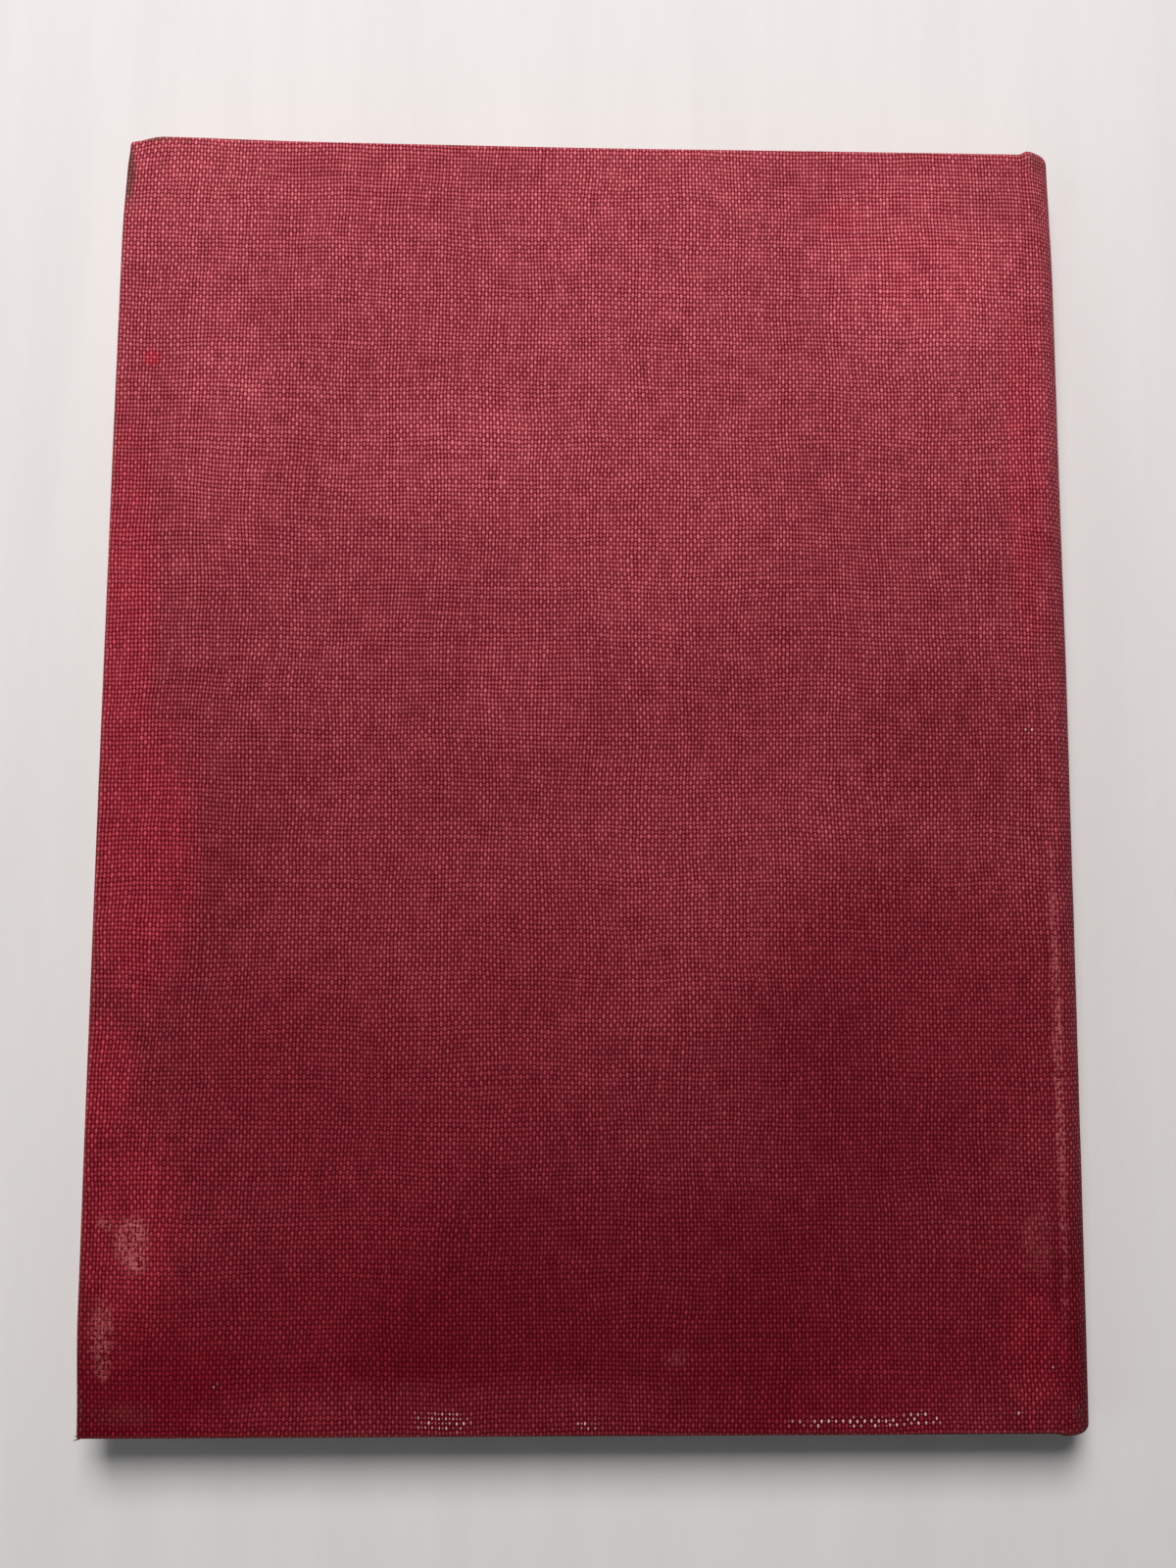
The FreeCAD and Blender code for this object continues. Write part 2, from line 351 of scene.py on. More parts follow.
class NodeBuilder:
    """Adds nodes to a material or a group, with their links and values."""

    def __init__(self, tree: Tree) -> None:
        """Keeps the tree that the nodes go to."""
        self.tree = tree

    def node(self, kind: str, *sources: Source, **settings: object) -> bpy.types.Node:
        """Adds a node.

        Args:
            kind: the node's type.
            *sources: what feeds its first inputs, in order.
            **settings: its own settings.

        Returns:
            The node.
        """
        made = self.tree.nodes.new(kind)
        for name, value in settings.items():
            setattr(made, name, value)
        for socket, source in zip(made.inputs, sources):
            self.feed(socket, source)
        return made

    def feed(self, socket: bpy.types.NodeSocket, source: Source) -> None:
        """Links a socket to a value, or sets its plain value.

        Args:
            socket: the input.
            source: the value, or a number, vector or colour.
        """
        if isinstance(source, Value):
            self.tree.links.new(source.socket, socket)
        elif socket.type == "RGBA":
            socket.default_value = (*source, 1.0)
        else:
            socket.default_value = source

    def read(self, kind: str, output: str, **settings: object) -> Value:
        """Adds a node and gives one of its outputs."""
        return Value(self, self.node(kind, **settings).outputs[output])

    def math(self, operation: str, *sources: Source, clamp: bool = False) -> Value:
        """Adds a Math node and gives its result, held from 0 to 1 where clamp is set."""
        made = self.node("ShaderNodeMath", *sources, operation=operation, use_clamp=clamp)
        return Value(self, made.outputs[0])

    def vector(self, operation: str, *sources: Source) -> Value:
        """Adds a Vector Math node and gives its result."""
        made = self.node("ShaderNodeVectorMath", *sources, operation=operation)
        return Value(self, made.outputs["Value" if operation == "LENGTH" else "Vector"])

    def split(self, source: Value) -> tuple[Value, ...]:
        """Splits a vector into X, Y and Z."""
        made = self.node("ShaderNodeSeparateXYZ", source)
        return tuple(Value(self, socket) for socket in made.outputs)

    def join(self, x: Source, y: Source, z: Source = 0.0) -> Value:
        """Joins three values into a vector."""
        return Value(self, self.node("ShaderNodeCombineXYZ", x, y, z).outputs[0])

    def noise(self, place: Value, scale: float, detail: float = 2.0, rough: float = 0.5) -> Value:
        """Adds a noise pattern.

        Args:
            place: where it is read.
            scale: its frequency, in waves a metre.
            detail: how many finer layers it has.
            rough: how strong the finer layers are.

        Returns:
            The pattern's value, from 0 to 1.
        """
        made = self.node("ShaderNodeTexNoise")
        for name, source in (("Vector", place), ("Scale", scale), ("Detail", detail), ("Roughness", rough)):
            self.feed(made.inputs[name], source)
        return Value(self, made.outputs["Fac"])

    def ramp(self, source: Source, low: Source, high: Source, start: float = 0.0, end: float = 1.0) -> Value:
        """Maps a value smoothly from one range to another.

        Args:
            source: the value.
            low: where the result is start.
            high: where the result is end.
            start: the first result.
            end: the last result.

        Returns:
            The mapped value.
        """
        ends = (source, low, high, start, end)
        made = self.node("ShaderNodeMapRange", *ends, interpolation_type="SMOOTHSTEP")
        return Value(self, made.outputs[0])

    def mix(self, share: Source, first: Source, second: Source, blend: str = "MIX") -> Value:
        """Mixes two colours.

        Args:
            share: how much of the second shows.
            first: a colour.
            second: a colour.
            blend: the way they mix.

        Returns:
            The mixed colour.
        """
        made = self.node("ShaderNodeMix", share, data_type="RGBA", blend_type=blend)
        self.feed(made.inputs[6], first)
        self.feed(made.inputs[7], second)
        return Value(self, made.outputs[2])

    def group(self, tree: Tree, **sources: Source) -> dict[str, Value]:
        """Places a node group.

        Args:
            tree: the group.
            **sources: what feeds its inputs, by their names.

        Returns:
            The group's outputs, by their names.
        """
        made = self.node("ShaderNodeGroup", node_tree=tree)
        for name, source in sources.items():
            self.feed(made.inputs[name], source)
        return {socket.name: Value(self, socket) for socket in made.outputs}


class GroupBuilder(NodeBuilder):
    """Builds a shader node group with named inputs and outputs."""

    def __init__(self, name: str, inputs: dict[str, float | None], outputs: Sequence[str]) -> None:
        """Starts the group.

        Args:
            name: the group's name.
            inputs: each input's name with its default value, which is None for a vector.
            outputs: names of the outputs, all plain values.
        """
        super().__init__(bpy.data.node_groups.new(name, "ShaderNodeTree"))
        for label, default in inputs.items():
            kind = "NodeSocketVector" if default is None else "NodeSocketFloat"
            socket = self.tree.interface.new_socket(label, in_out="INPUT", socket_type=kind)
            if default is not None:
                socket.default_value = default
        for label in outputs:
            self.tree.interface.new_socket(label, in_out="OUTPUT", socket_type="NodeSocketFloat")
        self.start = self.node("NodeGroupInput")
        self.end = self.node("NodeGroupOutput")

    def given(self, name: str) -> Value:
        """Gives the group's input of that name."""
        return Value(self, self.start.outputs[name])

    def finish(self, **results: Value) -> Tree:
        """Feeds the group's outputs.

        Args:
            **results: what each output gives, by its name.

        Returns:
            The finished group.
        """
        for name, result in results.items():
            self.feed(self.end.inputs[name], result)
        return self.tree


class MaterialBuilder(NodeBuilder):
    """Builds a material round its Principled shader."""

    def __init__(self, name: str) -> None:
        """Starts the material and reads the object's own coordinates.

        Args:
            name: the material's name.
        """
        self.material = bpy.data.materials.new(name)
        self.material.use_nodes = True
        super().__init__(self.material.node_tree)
        self.shader = self.tree.nodes["Principled BSDF"]
        self.place = self.read("ShaderNodeTexCoord", "Object")

    def add_bump(self, height: Value, strength: float, relief: float) -> None:
        """Raises the surface by a pattern.

        Args:
            height: the pattern.
            strength: how much of the relief shows.
            relief: its height in metres.
        """
        bump = self.node("ShaderNodeBump")
        for name, source in (("Strength", strength), ("Distance", relief), ("Height", height)):
            self.feed(bump.inputs[name], source)
        self.feed(self.shader.inputs["Normal"], Value(self, bump.outputs["Normal"]))

    def finish(self, colour: Value, roughness: Source, specular: float) -> Material:
        """Feeds the shader.

        Args:
            colour: the surface's colour.
            roughness: how matt it is.
            specular: its specular level.

        Returns:
            The finished material.
        """
        self.feed(self.shader.inputs["Base Color"], colour)
        self.feed(self.shader.inputs["Roughness"], roughness)
        self.feed(self.shader.inputs["Specular IOR Level"], specular)
        return self.material


@dataclass(frozen=True)
class PlainWeave:
    """Coarse plain-woven cloth: threads along the book and across it, one over and one under."""

    along_pitch: float = 0.68 * MM
    across_pitch: float = 0.85 * MM
    bow: float = 1.3 * MM
    bow_scale: float = 34.0
    wander: float = 0.20 * MM
    wander_scale: float = 380.0
    slub_scale: float = 170.0
    yarn_step: float = 0.71
    fibre_scale: float = 9000.0
    fibre_relief: float = 0.22
    roundness: float = 0.55
    crimp: float = 0.42
    middle: float = 0.66
    lean: float = 0.10
    lean_height: float = 0.03
    lean_scale: float = 11.0
    lean_start: Triple = (0.3, 0.0, 0.0)
    across_low: float = 0.80

    def build(self) -> Tree:
        """Builds the weave's node group.

        Returns:
            The group: Height is 0 in the holes and 1 on the threads, Yarn varies along each
            thread, Along is 1 where a thread that runs along the book lies on top and Crossing
            is a random value for each crossing.
        """
        n = GroupBuilder("plain_weave", {"Cloth": None}, ("Height", "Yarn", "Along", "Crossing"))
        cloth = n.given("Cloth")
        u, v, _ = n.split(cloth)
        across = (u + self.drift(n, cloth, 0.0)) / self.along_pitch
        along = (v + self.drift(n, cloth, 7.0)) / self.across_pitch
        column, row = n.math("FLOOR", across), n.math("FLOOR", along)
        yarn_a = n.noise(n.join(column * self.yarn_step, v * self.slub_scale), 1.0)
        yarn_b = n.noise(n.join(u * self.slub_scale, row * self.yarn_step, 5.0), 1.0)
        wave_a, wave_b = n.math("SINE", across * math.pi), n.math("SINE", along * math.pi)
        leaning = n.noise(n.vector("ADD", cloth, self.lean_start), self.lean_scale)
        lean = n.ramp(leaning, 0.40, 0.60, -1.0, 1.0)
        over_a = self.thread(n, wave_a, wave_b, yarn_a + lean * self.lean, 1.0)
        over_b = self.thread(n, wave_b, wave_a, yarn_b - lean * self.lean, -1.0)
        over_b = over_b * self.across_low * (lean * self.lean_height + 1.0)
        on_a = n.ramp(over_a - over_b, -0.08, 0.08)
        fibre = n.noise(cloth, self.fibre_scale, rough=0.7)
        chance = n.node("ShaderNodeTexWhiteNoise", n.join(column, row), noise_dimensions="2D")
        return n.finish(
            Height=n.math("SMOOTH_MAX", over_a, over_b, 0.05) + (fibre - 0.5) * self.fibre_relief,
            Yarn=yarn_b + on_a * (yarn_a - yarn_b),
            Along=n.math("MAXIMUM", on_a, lean * 0.45),
            Crossing=Value(n, chance.outputs["Value"]),
        )

    def drift(self, n: NodeBuilder, cloth: Value, seed: float) -> Value:
        """How far the threads stray sideways, in metres.

        Args:
            n: the group's builder.
            cloth: the place on the flat cloth.
            seed: sets the two directions apart.

        Returns:
            The distance.
        """
        moved = n.vector("ADD", cloth, (0.11 * seed, 0.07 * seed, 0.0))
        slow, quick = n.noise(moved, self.bow_scale) - 0.5, n.noise(moved, self.wander_scale) - 0.5
        return slow * (2 * self.bow) + quick * (2 * self.wander)

    def thread(self, n: NodeBuilder, own: Value, other: Value, yarn: Value, sign: float) -> Value:
        """Height of one set of threads.

        Args:
            n: the group's builder.
            own: sine across these threads.
            other: sine across the threads that they pass.
            yarn: each thread's thickness pattern.
            sign: 1 or -1, for which set starts on top.

        Returns:
            The height, 1 where a thread lies on top.
        """
        gap = n.ramp(yarn, 0.2, 0.8, 0.38, 0.04)
        body = n.math("POWER", n.math("MAXIMUM", n.math("ABSOLUTE", own) - gap, 0.0), self.roundness)
        return body * (n.math("SIGN", own) * other * (self.crimp * sign) + self.middle)


@dataclass(frozen=True)
class RubbedSpot:
    """A mark of wear: an oval that breaks up into the threads at its rim."""

    def build(self) -> Tree:
        """Builds the spot's node group.

        Returns:
            The group: Mask is 1 where the mark shows.
        """
        inputs = {"Place": None, "Centre": None, "Reach": None, "Breakup": 0.5, "Grain": 0.5, "Strength": 1.0}
        n = GroupBuilder("rubbed_spot", inputs, ("Mask",))
        gap = n.vector("SUBTRACT", n.given("Place"), n.given("Centre"))
        far = n.vector("LENGTH", n.vector("DIVIDE", gap, n.given("Reach")))
        worn = n.ramp(far, 1.0, 0.0) + (n.given("Grain") - 0.5) * n.given("Breakup")
        held = n.ramp(worn, 0.25, 0.85) * n.ramp(far, 1.15, 0.85)
        return n.finish(Mask=n.math("MULTIPLY", held, n.given("Strength"), clamp=True))


@dataclass(frozen=True)
class EdgeRub:
    """Wear along the outline of a flat piece, from its distance to its four edges."""

    def build(self) -> Tree:
        """Builds the edge wear's node group.

        Returns:
            The group: Mask is 1 at the edges and 0 past Width from them.
        """
        inputs = {"Place": None, "Low": None, "High": None, "Width": 0.002, "Grain": 0.5}
        n = GroupBuilder("edge_rub", inputs, ("Mask",))
        place, width = n.given("Place"), n.given("Width")
        above = n.vector("SUBTRACT", place, n.given("Low"))
        below = n.vector("SUBTRACT", n.given("High"), place)
        x, y, _ = n.split(n.vector("MINIMUM", above, below))
        wavy = n.math("MINIMUM", x, y) + (n.given("Grain") - 0.5) * width
        return n.finish(Mask=n.ramp(wavy, width, 0.0))


@dataclass(frozen=True)
class LooseFibres:
    """Fine light hairs that rubbing has raised from the yarn."""

    scale: float = 1000.0
    width: float = 0.045

    def build(self) -> Tree:
        """Builds the hairs' node group.

        Returns:
            The group: Mask is 1 on a hair.
        """
        n = GroupBuilder("loose_fibres", {"Place": None}, ("Mask",))
        hairs = []
        for stretch in ((1.0, 0.28, 1.0), (0.35, 1.0, 1.0)):
            pattern = n.noise(n.vector("MULTIPLY", n.given("Place"), stretch), self.scale, 1.5, 0.6)
            hairs.append(n.ramp(n.math("ABSOLUTE", pattern - 0.5), self.width, 0.0))
        return n.finish(Mask=n.math("MAXIMUM", *hairs))


class SharedEffects:
    """The node groups that several materials use, built once."""

    def __init__(self) -> None:
        """Builds each group."""
        self.weave = PlainWeave().build()
        self.spot = RubbedSpot().build()
        self.edge = EdgeRub().build()
        self.fibres = LooseFibres().build()


@dataclass(frozen=True)
class Mark:
    """One mark on the cloth, in millimetres from the frame's origin."""

    x: float
    y: float
    reach_x: float
    reach_y: float
    breakup: float
    strength: float


PALE_MARKS = (
    Mark(-86.0, -92.0, 6.5, 9.5, 0.9, 1.0),
    Mark(-85.0, -95.5, 3.6, 5.0, 0.9, 1.0),
    Mark(-90.8, -88.5, 3.6, 3.0, 0.9, 0.6),
    Mark(-91.0, -108.0, 4.4, 11.0, 0.9, 0.65),
    Mark(-90.5, -114.5, 3.2, 4.8, 0.9, 0.6),
    Mark(16.0, -113.0, 5.0, 3.0, 0.9, 0.22),
    Mark(90.2, -60.0, 1.9, 78.0, 1.3, 0.8),
    Mark(85.0, -92.0, 6.5, 14.0, 1.2, 0.2),
)
SPECK_MARKS = (
    Mark(-27.5, -124.2, 9.0, 3.4, 1.0, 1.0),
    Mark(-26.0, -125.0, 6.0, 2.4, 0.8, 1.0),
    Mark(-0.5, -125.0, 4.0, 1.6, 1.0, 0.9),
    Mark(50.0, -124.9, 21.0, 1.8, 1.2, 0.9),
    Mark(62.0, -124.3, 6.5, 2.4, 1.0, 0.95),
    Mark(86.2, 6.4, 2.4, 1.0, 0.8, 0.9),
    Mark(87.6, -115.3, 1.1, 1.0, 0.5, 1.0),
    Mark(80.5, -123.0, 1.6, 1.2, 0.6, 0.9),
    Mark(-69.6, -117.8, 1.0, 1.0, 0.6, 0.7),
)
RED_MARKS = (
    Mark(-88.7, 80.2, 3.4, 3.8, 0.7, 0.8),
    Mark(-92.0, 22.0, 13.0, 90.0, 0.7, 0.38),
    Mark(-87.0, -20.0, 22.0, 56.0, 0.7, 0.42),
    Mark(-88.0, -88.0, 22.0, 40.0, 0.9, 0.30),
    Mark(-93.0, -62.0, 14.0, 26.0, 0.9, 0.40),
    Mark(50.0, 112.0, 9.0, 7.0, 0.9, 0.22),
    Mark(68.0, 100.0, 26.0, 22.0, 0.7, 0.12),
    Mark(87.0, 60.0, 8.0, 72.0, 0.9, 0.26),
    Mark(84.0, -112.0, 12.0, 24.0, 0.9, 0.20),
)
# Patches that take away painted light and sheen: painted shade.
PAINTED_SHADE_MARKS = (
    Mark(62.0, -50.0, 66.0, 66.0, 0.5, 0.52),
    Mark(72.0, 4.0, 40.0, 36.0, 0.5, 0.26),
    Mark(-8.0, -36.0, 44.0, 30.0, 0.5, 0.16),
    Mark(-52.0, -62.0, 48.0, 42.0, 0.6, 0.30),
    Mark(10.0, -98.0, 70.0, 34.0, 0.5, 0.35),
    Mark(30.0, 16.0, 30.0, 40.0, 0.6, 0.14),
)
# Patches that add painted light and sheen: painted light.
PAINTED_LIGHT_MARKS = (
    Mark(66.0, 102.0, 42.0, 38.0, 0.5, 0.26),
    Mark(-14.0, 13.0, 24.0, 26.0, 0.6, 0.13),
    Mark(-30.0, 60.0, 50.0, 26.0, 0.7, 0.12),
    Mark(-74.0, 66.0, 22.0, 50.0, 0.7, 0.16),
    Mark(-24.0, -124.0, 90.0, 15.0, 0.6, 0.12),
    Mark(80.0, -124.0, 30.0, 15.0, 0.6, 0.10),
)
GREY_MARKS = (
    Mark(80.5, 117.0, 13.0, 9.0, 0.9, 0.08),
    Mark(-95.0, 119.0, 3.2, 14.0, 1.0, 0.8),
    Mark(-90.0, 127.0, 9.0, 2.2, 1.0, 0.7),
    Mark(-95.0, -122.0, 2.4, 8.0, 1.2, 0.35),
    Mark(-86.0, -123.0, 12.0, 4.0, 1.2, 0.15),
    Mark(92.5, -124.5, 3.0, 5.0, 1.2, 0.4),
    Mark(91.0, 125.5, 4.2, 4.0, 1.2, 0.4),
)


class YarnColours(NamedTuple):
    """The cloth's colours: painted shade in the holes, the threads' sides, and a painted highlight on the
    threads' tops.
    """

    hole_shade: Colour
    side: Colour
    top: Colour


@dataclass(frozen=True)
class BookCloth:
    """The covering cloth's finish: dyed yarn lightened towards the head by painted light and sheen, with
    painted shade in the weave's holes and painted highlights on the threads' tops, rubbed and marked.
    """

    name: str
    sizes: BookSizes
    marked: bool
    # Strength of the painted light and sheen that lighten the cloth towards the head.
    head_light_strength: float = 0.85
    # Yarn colours at the tail and at the head. The head colours are lighter and whiter because of painted
    # light and sheen from the light on the head side, and their whitish tops are a painted sheen highlight.
    tail_yarn: YarnColours = YarnColours(
        (0.066, 0.0006, 0.0045), (0.160, 0.0026, 0.0100), (0.285, 0.0125, 0.0270)
    )
    head_lit_yarn: YarnColours = YarnColours((0.120, 0.0026, 0.0100), (0.50, 0.052, 0.078), (0.93, 0.285, 0.335))
    red: Colour = (0.56, 0.022, 0.050)
    # Thread tops in the redder patches, lighter than their sides: a painted highlight over the patches' own
    # red.
    red_lit_top: Colour = (0.94, 0.100, 0.150)
    grey: Colour = (0.15, 0.075, 0.062)
    rubbed: Colour = (0.64, 0.19, 0.19)
    lint: Colour = (0.86, 0.70, 0.62)
    sheen: Colour = (1.0, 0.58, 0.62)
    rub_width: float = 1.0 * MM
    rub_share: float = 0.10
    mark_depth: float = 3.0 * MM
    relief: float = 0.26 * MM

    def build(self, effects: SharedEffects) -> Material:
        """Builds the material.

        Args:
            effects: the shared node groups.

        Returns:
            The material.
        """
        n = MaterialBuilder(self.name)
        weave = n.group(effects.weave, Cloth=n.read("ShaderNodeUVMap", "UV", uv_map="cloth"))
        height = weave["Height"]
        fine = n.noise(n.place, 420.0, 3.0, 0.65)
        by_thread = fine * 0.6 + weave["Crossing"] * 0.4
        share = self.head_light_share(n, effects, fine)
        # Mixes the tail colours into the lighter head colours: painted light and sheen.
        hole_shade, side, top = (n.mix(share, new, lit_at_head) for new, lit_at_head in zip(self.tail_yarn, self.head_lit_yarn))
        redder = self.spots(n, effects, RED_MARKS, fine)
        side, top = n.mix(redder, side, self.red), n.mix(redder, top, self.red_lit_top)
        greyer = self.spots(n, effects, GREY_MARKS, by_thread)
        side, top = n.mix(greyer, side, self.grey), n.mix(greyer, top, self.grey)
        # Threads that run across the book are painted darker than the threads along it, most at the tail:
        # painted shade from the light raking in from the head. The yarn's random tone rides on top of this.
        across = share * 0.34 + 0.56
        tone = n.ramp(weave["Yarn"], 0.3, 0.7, 0.90, 1.10) * (across + weave["Along"] * (1.0 - across))
        # Thread tops are lighter than their sides: painted highlight.
        thread = n.mix(n.ramp(height, 0.45, 1.0), side, top)
        thread = n.mix(1.0, thread, n.join(tone, tone, tone), "MULTIPLY")
        # The holes between the threads are darker: painted shade.
        colour = n.mix(n.ramp(height, 0.16, 0.64), hole_shade, thread)
        colour = self.add_rubbing(n, effects, colour, fine)
        if self.marked:
            colour = self.add_worn_patches(n, effects, colour, weave, fine)
        n.feed(n.shader.inputs["Specular Tint"], self.sheen)
        n.add_bump(height, 0.85, self.relief)
        return n.finish(colour, n.ramp(height, 0.2, 0.9, 0.9, 0.5), 0.12)

    def head_light_share(self, n: MaterialBuilder, effects: SharedEffects, fine: Value) -> Value:
        """How much painted light and sheen lighten the cloth, from 0 at the tail to the most at the head.

        Args:
            n: the material's builder.
            effects: the shared node groups.
            fine: a fine noise that breaks the darker and paler places up.

        Returns:
            The share of the lighter head colours, which stand for painted light and sheen.
        """
        _, y, _ = n.split(n.place)
        rise = (y - self.sizes.tail_y) / (2 * self.sizes.half_length)
        uneven = n.noise(n.place, 19.0, 4.0, 0.55) * 0.36 - 0.18
        share = n.math("MULTIPLY", rise + uneven, self.head_light_strength, clamp=True)
        # The painted shade patches lower the share of painted light, and the painted light patches raise it.
        kept = 1.0 - self.spots(n, effects, PAINTED_SHADE_MARKS, fine)
        return n.math("ADD", share * kept, self.spots(n, effects, PAINTED_LIGHT_MARKS, fine), clamp=True)

    def add_rubbing(self, n: MaterialBuilder, effects: SharedEffects, colour: Value, fine: Value) -> Value:
        """Lightens the cloth where hands and shelves have rubbed the cover's outline.

        Args:
            n: the material's builder.
            effects: the shared node groups.
            colour: the cloth's colour.
            fine: a fine noise that breaks the wear up.

        Returns:
            The rubbed colour.
        """
        low = (self.sizes.fore_x, self.sizes.tail_y, 0.0)
        high = (self.sizes.ridge_x, self.sizes.head_y, 0.0)
        rub = n.group(effects.edge, Place=n.place, Low=low, High=high, Width=self.rub_width, Grain=fine)
        return n.mix(rub["Mask"] * self.rub_share, colour, self.rubbed)

    def add_worn_patches(
        self, n: MaterialBuilder, effects: SharedEffects, colour: Value, weave: dict[str, Value], fine: Value
    ) -> Value:
        """Adds the hairy pale patches and the specks where the colour is worn off the threads.

        Args:
            n: the material's builder.
            effects: the shared node groups.
            colour: the cloth's colour.
            weave: the weave's outputs.
            fine: a fine noise that breaks the patches up.

        Returns:
            The worn colour.
        """
        height, chance = weave["Height"], weave["Crossing"]
        hairs = n.group(effects.fibres, Place=n.place)["Mask"]
        patches = self.spots(n, effects, PALE_MARKS, fine)
        over = hairs * 0.62 + n.ramp(height, 0.5, 1.0) * 0.26
        colour = n.mix(patches * over, colour, self.rubbed)
        bare = n.ramp(chance, 0.18, 0.34) * n.ramp(height, 0.70, 0.88)
        specks = self.spots(n, effects, SPECK_MARKS, fine * 0.6 + chance * 0.4)
        return n.mix(specks * bare, colour, self.lint)

    def spots(
        self, n: MaterialBuilder, effects: SharedEffects, marks: Sequence[Mark], grain: Value
    ) -> Source:
        """Joins one kind of mark into a single mask.

        Args:
            n: the material's builder.
            effects: the shared node groups.
            marks: the marks.
            grain: the pattern that breaks the marks up.

        Returns:
            The mask, 1 where a mark shows fully and 0 all over on cloth without marks.
        """
        mask: Source = 0.0
        for mark in marks if self.marked else ():
            spot = n.group(
                effects.spot,
                Place=n.place,
                Centre=(mark.x * MM, mark.y * MM, self.sizes.top_z),
                Reach=(mark.reach_x * MM, mark.reach_y * MM, self.mark_depth),
                Breakup=mark.breakup,
                Grain=grain,
                Strength=mark.strength,
            )
            mask = n.math("MAXIMUM", mask, spot["Mask"])
        return mask


@dataclass(frozen=True)
class Paper:
    """Aged paper: a warm tone, browner at its edges, with foxing and a fine tooth."""

    name: str
    sizes: BookSizes
    light: Colour = (0.74, 0.66, 0.50)
    toned: Colour = (0.52, 0.39, 0.24)
    spot: Colour = (0.42, 0.25, 0.12)
    toned_width: float = 16.0 * MM
    tooth_scale: float = 2600.0
    relief: float = 0.03 * MM

    def build(self, effects: SharedEffects) -> Material:
        """Builds the material.

        Args:
            effects: the shared node groups.

        Returns:
            The material.
        """
        n = MaterialBuilder(self.name)
        wide = n.noise(n.place, 18.0, 5.0, 0.6)
        tooth = n.noise(n.place, self.tooth_scale, 3.0, 0.7)
        low = (self.sizes.leaves_fore_x, self.sizes.leaves_tail_y, 0.0)
        high = (self.sizes.spine_x, self.sizes.leaves_head_y, 0.0)
        edge = n.group(effects.edge, Place=n.place, Low=low, High=high, Width=self.toned_width, Grain=wide)
        colour = n.mix(edge["Mask"] * 0.7, self.light, self.toned)
        colour = n.mix(n.ramp(wide, 0.42, 0.75, 0.0, 0.35), colour, self.toned)
        colour = n.mix(n.ramp(n.noise(n.place, 210.0), 0.72, 0.8, 0.0, 0.6), colour, self.spot)
        n.add_bump(tooth, 0.35, self.relief)
        return n.finish(colour, n.ramp(tooth, 0.2, 0.8, 0.78, 0.92), 0.25)


@dataclass(frozen=True)
class LeafEdges:
    """The cut edges of the leaves: a fine layering, darkened by dust and handling."""

    name: str
    light: Colour = (0.66, 0.57, 0.41)
    dark: Colour = (0.34, 0.25, 0.15)
    leaf: float = 0.1 * MM
    relief: float = 0.05 * MM

    def build(self) -> Material:
        """Builds the material.

        Returns:
            The material.
        """
        n = MaterialBuilder(self.name)
        x, y, z = n.split(n.place)
        layer = n.math("FLOOR", z / self.leaf)
        each = n.noise(n.join(x * 30.0, y * 30.0, layer * 3.7), 1.0, 3.0, 0.7)
        dust = n.noise(n.place, 60.0, 5.0, 0.65)
        colour = n.mix(n.ramp(each, 0.3, 0.7, 0.0, 0.75), self.light, self.dark)
        colour = n.mix(n.ramp(dust, 0.45, 0.75, 0.0, 0.55), colour, self.dark)
        n.add_bump(each, 0.6, self.relief)
        return n.finish(colour, 0.9, 0.2)


@dataclass(frozen=True)
class FibreFinish:
    """A plain fibrous finish for millboard, lining paper, gauze, cord and loose thread."""

    name: str
    light: Colour
    dark: Colour
    scale: Triple
    roughness: float
    relief: float

    def build(self) -> Material:
        """Builds the material.

        Returns:
            The material.
        """
        n = MaterialBuilder(self.name)
        fibres = n.noise(n.vector("MULTIPLY", n.place, self.scale), 1.0, 5.0, 0.7)
        cloud = n.noise(n.place, 90.0, 3.0, 0.6)
        colour = n.mix(n.ramp(fibres, 0.3, 0.7), self.light, self.dark)
        colour = n.mix(n.ramp(cloud, 0.4, 0.8, 0.0, 0.4), colour, self.dark)
        n.add_bump(fibres, 0.6, self.relief)
        return n.finish(colour, self.roughness, 0.5)


